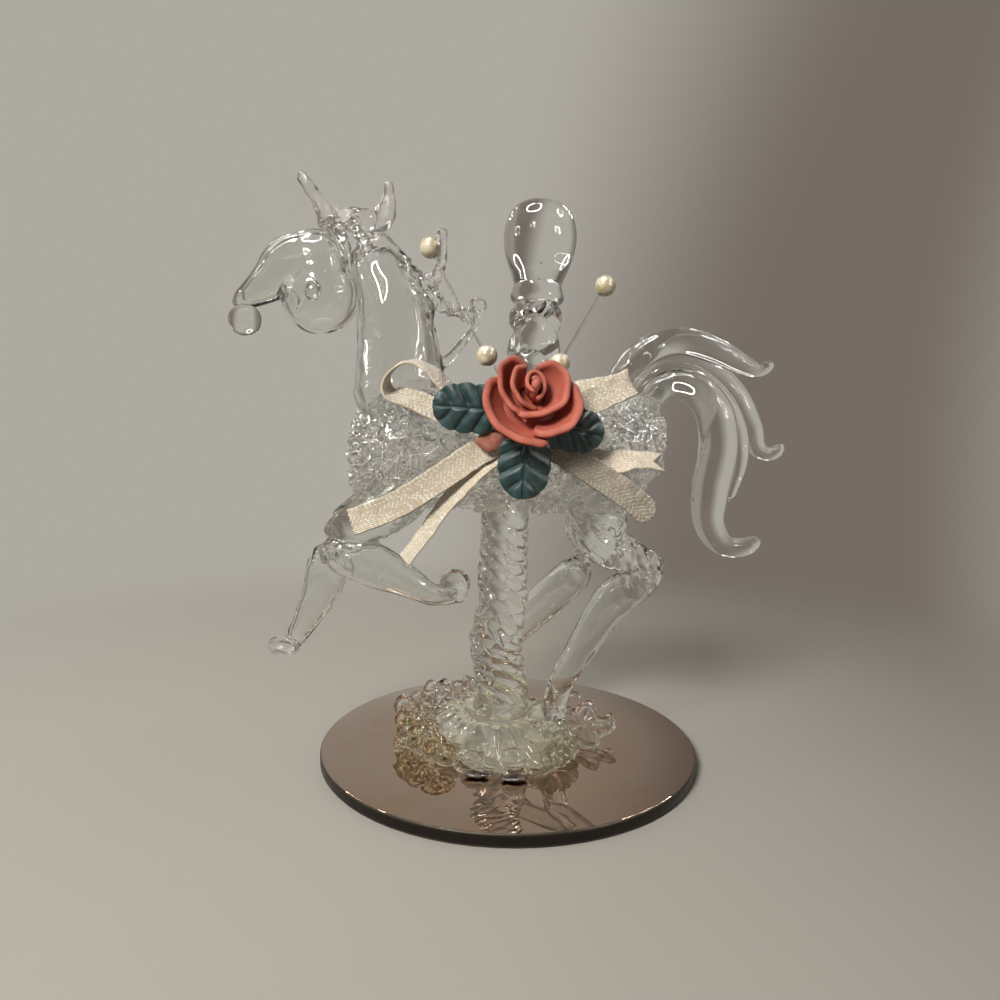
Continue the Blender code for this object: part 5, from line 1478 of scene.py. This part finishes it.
    def add_strip(self, name, stations, satin, width, cut, folded):
        """One length of ribbon. cut is the shape of its free end: "square", "round", "swallow" or
        "frayed". A folded strip bends straight back on itself."""
        line = smooth_line(stations, 20)
        columns = 15
        walked = measured(line * MM)
        whole = walked[-1]
        verts, uvs = [], []
        draw = random.Random(name)
        phase = draw.uniform(0, 6)
        for i, (x, y, z, turned) in enumerate(line):
            step = Vector(line[min(i + 1, len(line) - 1)][:3]) - Vector(line[max(i - 1, 0)][:3])
            step.normalize()
            flat = Vector((-step.z, 0.0, step.x)).normalized()
            side = Vector((0.0, 1.0, 0.0))
            if folded and i:
                flat = (held - step * held.dot(step)).normalized()
                side = flat.cross(step)
            held = flat
            turn = math.radians(turned)
            across = flat * math.cos(turn) + side * math.sin(turn)
            across = (across - step * across.dot(step)).normalized()
            out = across.cross(step)
            centre = at(x, y, z)
            near_end = max(0.0, 1 - (whole - walked[i]) / 0.004)
            for j in range(columns):
                share = 2 * j / (columns - 1) - 1
                arch = 0.00020 * (1 - share * share)
                arch += 0.00007 * math.sin(walked[i] * 820 + phase + 1.7 * share)
                arch += 0.00005 * math.sin(walked[i] * 1900 + 2 * phase - 2.9 * share)
                selvedge = 0.00005 * math.sin(walked[i] * 2600 + phase) * abs(share)
                pulled = 0.0
                if cut == "round":
                    pulled = -0.0013 * share * share * near_end
                elif cut == "swallow":
                    pulled = -0.0016 * (1 - abs(share)) * near_end
                elif cut == "frayed":
                    pulled = (0.0002 * share + 0.00016 * math.sin(2.4 * j)) * near_end
                verts.append(centre + across * (width / 2 * share + selvedge) + out * arch + step * pulled)
                uvs.append((j / (columns - 1), walked[i] + pulled))
        mesh = cloth(mesh_of(name, verts, grid_faces(len(line), columns, False)), uvs)
        ribbon = thickened(mesh, RIBBON_THICKNESS, even=not folded, rounded=False)
        show("satin_" + name, ribbon, satin, "satin_ribbon", name)


class GLASSHORSE_OT_rose(bpy.types.Operator):
    """Models the rose from sheets of clay, petal by petal"""
    bl_idname = "glass_horse.rose"
    bl_label = "Rose"
    bl_options = {"REGISTER", "UNDO"}

    def execute(self, context):
        values = context.scene.glass_horse
        clay = self.clay(values.bow, "rose_clay", 0.9)
        self.add_bud(clay, self.clay(values.bow, "rose_clay_under_glue", 0.0))
        for petal in self.petals():
            self.add_petal(clay, *petal)
        return {"FINISHED"}

    def clay(self, bow, name, hollow):
        """Clay with painted shade in its cavities: towards the back of the rose it darkens by the share
        hollow.
        """
        made, tree, shader = blank_material(name, Specular_IOR_Level=0.3, Subsurface_Weight=0.12,
                                            Subsurface_Scale=0.0006)
        skin = mottled(tree, shader, (700.0, 5200.0), tinted(bow.rose_colour, (0.90, 0.78, 0.76)),
                       bow.rose_colour, (0.50, 0.72))
        place = object_place(tree)
        # Painted shade: towards the back of the rose, where its cavities lie, the clay is blended towards a
        # dark red by up to the share hollow.
        depth = value_node(tree, "ShaderNodeSeparateXYZ", {0: place}).outputs["Y"]
        deep = ramp(tree, depth, -0.0178, -0.0135, 0.0, hollow)
        shade = tinted(bow.rose_colour, (0.50, 0.30, 0.29))
        link(tree, blend_colours(tree, deep, skin.outputs["Colour"], shade), shader.inputs["Base Color"])
        grain = noise_node(tree, place, 1300.0, detail=4.0, roughness=0.6)
        height = maths(tree, "ADD", skin.outputs["Height"], grain.outputs["Fac"])
        bump(tree, shader, height, 0.5, 0.00004)
        return made

    def petals(self):
        """Name, lip, base radius, height, cupping, floor and thickness of each petal. A lip is
        (right, up, share of the height) in millimetres as seen from the front."""
        return (
            ("rose_petal_inner", ((-1.1, 4.9, 0.94), (-2.2, 4.4, 1.0), (-2.8, 3.2, 1.0), (-2.7, 1.6, 0.98),
                                  (-1.9, 0.3, 0.92), (-0.9, -0.5, 0.80), (0.3, -0.7, 0.66)),
             1.2, 5.4, 0.75, 2.4, 0.70),
            ("rose_petal_right", ((0.5, 4.8, 0.90), (1.6, 5.3, 0.96), (3.2, 5.3, 1.0), (4.6, 4.0, 1.0),
                                  (4.9, 1.8, 1.0), (4.2, -0.2, 0.99), (2.5, -1.3, 0.97),
                                  (0.4, -1.9, 0.94), (-1.2, -1.9, 0.88), (-2.1, -1.2, 0.78)),
             1.6, 4.7, 1.15, 1.9, 0.95),
            ("rose_petal_upper_left", ((-0.9, 4.9, 0.84), (-1.8, 5.8, 0.96), (-3.2, 6.0, 1.0),
                                       (-4.4, 4.9, 1.0), (-4.6, 3.0, 0.97), (-4.2, 1.1, 0.94),
                                       (-3.2, -0.5, 0.92), (-2.0, -1.5, 0.86), (-0.9, -2.4, 0.72)),
             2.0, 4.9, 0.95, 1.5, 0.85),
            ("rose_petal_lower_right", ((5.0, 3.0, 0.84), (6.1, 1.9, 0.96), (6.6, 0.2, 1.0),
                                        (6.4, -1.7, 1.0), (5.2, -3.3, 1.0), (3.3, -4.2, 0.99),
                                        (1.5, -4.5, 0.96), (0.2, -4.1, 0.86)), 2.6, 3.8, 1.1, 1.2, 1.25),
            ("rose_petal_lower_left", ((-4.7, 3.4, 0.82), (-5.9, 2.9, 0.94), (-6.5, 1.2, 1.0),
                                       (-6.2, -1.1, 1.0), (-5.0, -3.2, 1.0), (-3.0, -4.7, 0.99),
                                       (-0.8, -5.5, 0.95), (1.0, -5.7, 0.84), (1.9, -5.4, 0.70)),
             2.8, 3.6, 1.05, 1.0, 1.25),
        )

    def place(self, right, up, out):
        """A point of the rose: out is its distance in front of the leaves, along the rose's axis."""
        return BELLY + (ROSE_BASE + ROSE_TILT @ Vector((right, -out, up))) * MM

    def add_petal(self, clay, name, lip, base, height, cup, low, thickness):
        """A sheet that rises from the rose's base, opens like a bowl and rolls over at its lip."""
        edge = smooth_line(lip, 9)
        rows = 16
        verts = []
        centre = edge[:, :2].mean(axis=0) * 0.35 + np.array((-0.35, 1.0)) * 0.65
        for i in range(rows + 1):
            t = i / rows
            open_out = math.sin(t * math.pi / 2) ** cup
            over = max(0.0, (t - 0.82) / 0.18)
            for j, (right, up, level) in enumerate(edge):
                tip = np.array((right, up))
                away = tip - centre
                reach = np.linalg.norm(away)
                direction = away / max(reach, 1e-6)
                inner = min(base, reach * 0.55)
                radius = inner + (reach - inner) * open_out + 0.28 * over ** 2
                rise = low + (height * level - low) * t ** 1.15 - 0.55 * over ** 2.2
                ruffle = 0.09 * math.sin(j * 0.43 + height * 3) * t ** 3
                spot = centre + direction * (radius + ruffle)
                verts.append(tuple(self.place(spot[0], spot[1], rise + ruffle)))
        mesh = mesh_of(name, verts, grid_faces(rows + 1, len(edge), False))
        sheet = thickened(mesh, thickness * MM, even=True)
        sheet.shade_smooth()
        show("clay_" + name, outward(sheet), clay, "rose_clay", name)

    def add_bud(self, clay, old):
        """The rolled heart of the rose, its ball tip, the pad that holds the petals and a tab behind."""
        roll, steps = [], 51
        for i in range(steps + 1):
            share = i / steps
            angle = math.radians(150 - 590 * share)
            radius = 0.24 + 1.36 * share
            roll.append((0.15 + radius * math.cos(angle), 2.35 + radius * 1.35 * math.sin(angle), share))
        verts, rows = [], 10
        for i in range(rows + 1):
            t = i / rows
            over = max(0.0, (t - 0.8) / 0.2)
            for right, up, share in roll:
                top = 6.4 - 1.3 * share
                swell = 0.72 + 0.28 * t + 0.10 * over ** 2
                crease = 0.06 * math.sin(13 * share + 2 * t) * t
                verts.append(tuple(self.place(right * swell + crease, (up - 2.0) * swell + 1.9 + 0.1 * t,
                                              0.6 + (top - 0.6) * t - 0.25 * over ** 2)))
        mesh = mesh_of("roll", verts, grid_faces(rows + 1, len(roll), False))
        spiral = shape_of(thickened(mesh, ROLL_THICKNESS))
        tip = ellipsoid(self.place(0.3, 1.9, 5.75), (0.00062, 0.00080, 0.00078), None, 24, 16)
        tip_stem = sweep([(*self.place(0.3, 1.9, 5.5), 0.00052), (*self.place(0.2, 1.2, 4.4), 0.00056),
                          (*self.place(0.1, 0.8, 3.0), 0.0006)], 16)
        pad = ellipsoid(self.place(-0.2, 0.2, 0.9), (0.0046, 0.0012, 0.0044),
                        ROSE_TILT, 40, 16)
        mesh = outward(mesh_of("rose_heart", *joined(spiral, tip, tip_stem, pad)))
        show("clay_rose_bud", mesh, clay, "rose_clay", "rose_bud")
        for node in old.node_tree.nodes:
            if node.type == "GROUP":
                node.inputs["Low Colour"].default_value = (*srgb(140, 84, 70), 1)
                node.inputs["High Colour"].default_value = (*srgb(176, 116, 96), 1)
        verts, faces = ellipsoid(at(-3.7, -11.2, 12.0), (0.0022, 0.0004, 0.0015), None, 24, 12)
        tab = outward(mesh_of("clay_tab", ripple(verts, 0.0001, 0.002, 3), faces))
        show("clay_tab", tab, old, "rose_clay")


class GLASSHORSE_OT_leaves(bpy.types.Operator):
    """Models the three veined clay leaves behind the rose"""
    bl_idname = "glass_horse.leaves"
    bl_label = "Leaves"
    bl_options = {"REGISTER", "UNDO"}

    def execute(self, context):
        values = context.scene.glass_horse
        clay = self.clay(values.bow)
        self.add_leaf(clay, "leaf_left", at(-2.3, -12.45, 16.4), -86, 9.9, 7.4, 0.9)
        self.add_leaf(clay, "leaf_lower", at(1.4, -12.45, 13.7), 182, 10.1, 7.9, 0.5)
        self.add_leaf(clay, "leaf_right", at(3.55, -12.45, 15.0), 103, 9.4, 7.0, -0.8)
        return {"FINISHED"}

    def clay(self, bow):
        made, tree, shader = blank_material("leaf_clay")
        skin = mottled(tree, shader, (650.0, 5200.0), tinted(bow.leaf_colour, (0.55, 0.55, 0.55)),
                       bow.leaf_colour, (0.30, 0.52))
        bloom = noise_node(tree, object_place(tree), 300.0, detail=5.0, roughness=0.7)
        chalk = ramp(tree, bloom.outputs["Fac"], 0.55, 0.8, 0.0, 0.28)
        pale = tuple(min(1.0, c * 2.2 + 0.02) for c in bow.leaf_colour)
        link(tree, blend_colours(tree, chalk, skin.outputs["Colour"], pale), shader.inputs["Base Color"])
        bump(tree, shader, maths(tree, "ADD", skin.outputs["Height"], bloom.outputs["Fac"]), 0.5, 0.00005)
        return made

    def add_leaf(self, clay, name, base, heading, length, width, bend):
        """A leaf pressed with a midrib and side veins, whose rim swells between the veins."""
        rows, columns, lobes = 64, 40, 4.0
        verts = []
        for i in range(rows + 1):
            along = i / rows
            for j in range(columns + 1):
                side = 2 * j / columns - 1
                phase = lobes * (along - 0.22 * abs(side)) + 0.2
                swell = abs(math.sin(math.pi * phase)) ** 0.6
                half = width / 2 * max(0.0, 1 - abs(1.92 * along - 0.94) ** 2.6) ** 0.5
                half *= 0.90 + 0.12 * swell
                groove = (1 - swell) * 0.62 * (1 - abs(side) ** 6 * 0.5) * min(1, abs(side) * 5)
                midrib = 0.42 * math.exp(-(side / 0.07) ** 2)
                rise = 0.55 * (1 - side * side) - groove - midrib - 0.5 * along ** 3 + bend * 0.3 * side
                x = side * half
                z = length * (along - 0.05 * side * side * (1 - along))
                verts.append((x * MM, -rise * MM, z * MM))
        mesh = mesh_of(name, verts, grid_faces(rows + 1, columns + 1, False))
        sheet = thickened(mesh, LEAF_THICKNESS, offset=-1.0)
        sheet.transform(Matrix.Translation(base) @ Matrix.Rotation(math.radians(heading), 4, "Y"))
        sheet.shade_smooth()
        show("clay_" + name, outward(sheet), clay, "leaf_clay", name)


class GLASSHORSE_OT_sprays(bpy.types.Operator):
    """Builds the clear filaments and the pearls threaded on them"""
    bl_idname = "glass_horse.sprays"
    bl_label = "Pearl sprays"
    bl_options = {"REGISTER", "UNDO"}

    def execute(self, context):
        values = context.scene.glass_horse
        pearl = self.lustre(values.bow.pearl_colour)
        nylon = glass_material("nylon_filament", haze=0.3, ripple=900.0, deep=(0.94, 0.94, 0.92), IOR=1.5)
        routes = {
            "left": ((1.6, -9.6, 17.4), (-4.4, -9.9, 24.5), (-12.9, -8.0, 40.2)),
            "right": ((3.0, -10.0, 17.2), (6.4, -9.0, 23.6), (13.3, -7.0, 35.4)),
        }
        for side, route in routes.items():
            stations = np.array([(*point, 0.2) for point in route])
            line = smooth_line(on_horse(stations), 30)
            mesh = outward(mesh_of(f"nylon_{side}", *sweep(line, 12)))
            show(f"nylon_filament_{side}", mesh, nylon, "clear_filament", f"filament_{side}")
            for where, spot in (("lower", 30), ("upper", 60)):
                ahead = Vector((line[min(spot + 1, 60)] - line[spot - 1])[:3]).normalized()
                self.add_pearl(f"{side}_{where}", Vector(line[spot][:3]), ahead, pearl)
        return {"FINISHED"}

    def add_pearl(self, name, centre, axis, finish):
        """A pearl that dips at its two drilled holes."""
        radius = PEARL_RADIUS
        profile = [(0.00022, -radius + 0.00050), (0.00030, -radius + 0.00012)]
        for step in range(9, 172, 6):
            angle = math.radians(step)
            profile.append((radius * math.sin(angle), -radius * math.cos(angle)))
        profile += [(0.00030, radius - 0.00012), (0.00022, radius - 0.00050)]
        verts, faces = lathe(profile, 40, tuple(centre), axis)
        mesh = outward(mesh_of(f"pearl_{name}", ripple(verts, 0.00002, 0.0016, len(name)), faces))
        show(f"lustrous_pearl_{name}", mesh, finish, "pearl", f"pearl_{name}")

    def lustre(self, colour):
        return mottled_material("pearl_lustre", (650.0, 3000.0), tinted(colour, (0.66, 0.61, 0.50)), colour,
                                (0.22, 0.4), 0.2, 0.00001, Coat_Weight=1.0, Coat_Roughness=0.05,
                                Coat_IOR=1.65, Sheen_Weight=0.3, Sheen_Roughness=0.3)


class GlassHorseSettings(bpy.types.PropertyGroup):
    stage: PointerProperty(type=StageSettings, name="Stage", description="Floor and lamps")
    mirror: PointerProperty(type=MirrorSettings, name="Mirror", description="The round mirror")
    glass: PointerProperty(type=GlassSettings, name="Glass", description="Drawn and spun glass")
    bow: PointerProperty(type=BowSettings, name="Bow", description="Bow, rose, leaves and pearls")


BUILDERS = (
    GLASSHORSE_OT_stage, GLASSHORSE_OT_mirror, GLASSHORSE_OT_foot, GLASSHORSE_OT_scroll, GLASSHORSE_OT_pole,
    GLASSHORSE_OT_barrel, GLASSHORSE_OT_head, GLASSHORSE_OT_legs, GLASSHORSE_OT_tail, GLASSHORSE_OT_bow,
    GLASSHORSE_OT_leaves, GLASSHORSE_OT_rose, GLASSHORSE_OT_sprays,
)


class GLASSHORSE_PT_panel(bpy.types.Panel):
    """Lists the builders and their settings"""
    bl_idname = "GLASSHORSE_PT_panel"
    bl_label = "Glass Carousel Horse"
    bl_space_type = "VIEW_3D"
    bl_region_type = "UI"
    bl_category = "Glass Horse"

    def draw(self, context):
        values = context.scene.glass_horse
        for group in (values.stage, values.mirror, values.glass, values.bow):
            box = self.layout.box()
            for key in group.bl_rna.properties.keys():
                if key not in {"rna_type", "name"}:
                    box.prop(group, key)
        column = self.layout.column(align=True)
        for builder in BUILDERS:
            column.operator(builder.bl_idname)


CLASSES = (StageSettings, MirrorSettings, GlassSettings, BowSettings, GlassHorseSettings, *BUILDERS,
           GLASSHORSE_PT_panel)


def register():
    for made in CLASSES:
        bpy.utils.register_class(made)
    bpy.types.Scene.glass_horse = PointerProperty(type=GlassHorseSettings)


def unregister():
    del bpy.types.Scene.glass_horse
    for made in reversed(CLASSES):
        bpy.utils.unregister_class(made)


def main():
    register()
    scene = bpy.context.scene
    scene.view_settings.view_transform = "Standard"
    scene.cycles.max_bounces = 32
    scene.cycles.transmission_bounces = 32
    scene.cycles.glossy_bounces = 12
    scene.cycles.transparent_max_bounces = 48
    scene.cycles.caustics_reflective = False
    scene.cycles.caustics_refractive = False
    bpy.ops.glass_horse.stage()
    bpy.ops.glass_horse.mirror()
    bpy.ops.glass_horse.foot()
    bpy.ops.glass_horse.scroll()
    bpy.ops.glass_horse.pole()
    bpy.ops.glass_horse.barrel()
    bpy.ops.glass_horse.head()
    bpy.ops.glass_horse.legs()
    bpy.ops.glass_horse.tail()
    bpy.ops.glass_horse.bow()
    bpy.ops.glass_horse.leaves()
    bpy.ops.glass_horse.rose()
    bpy.ops.glass_horse.sprays()


if __name__ == "__main__":
    main()
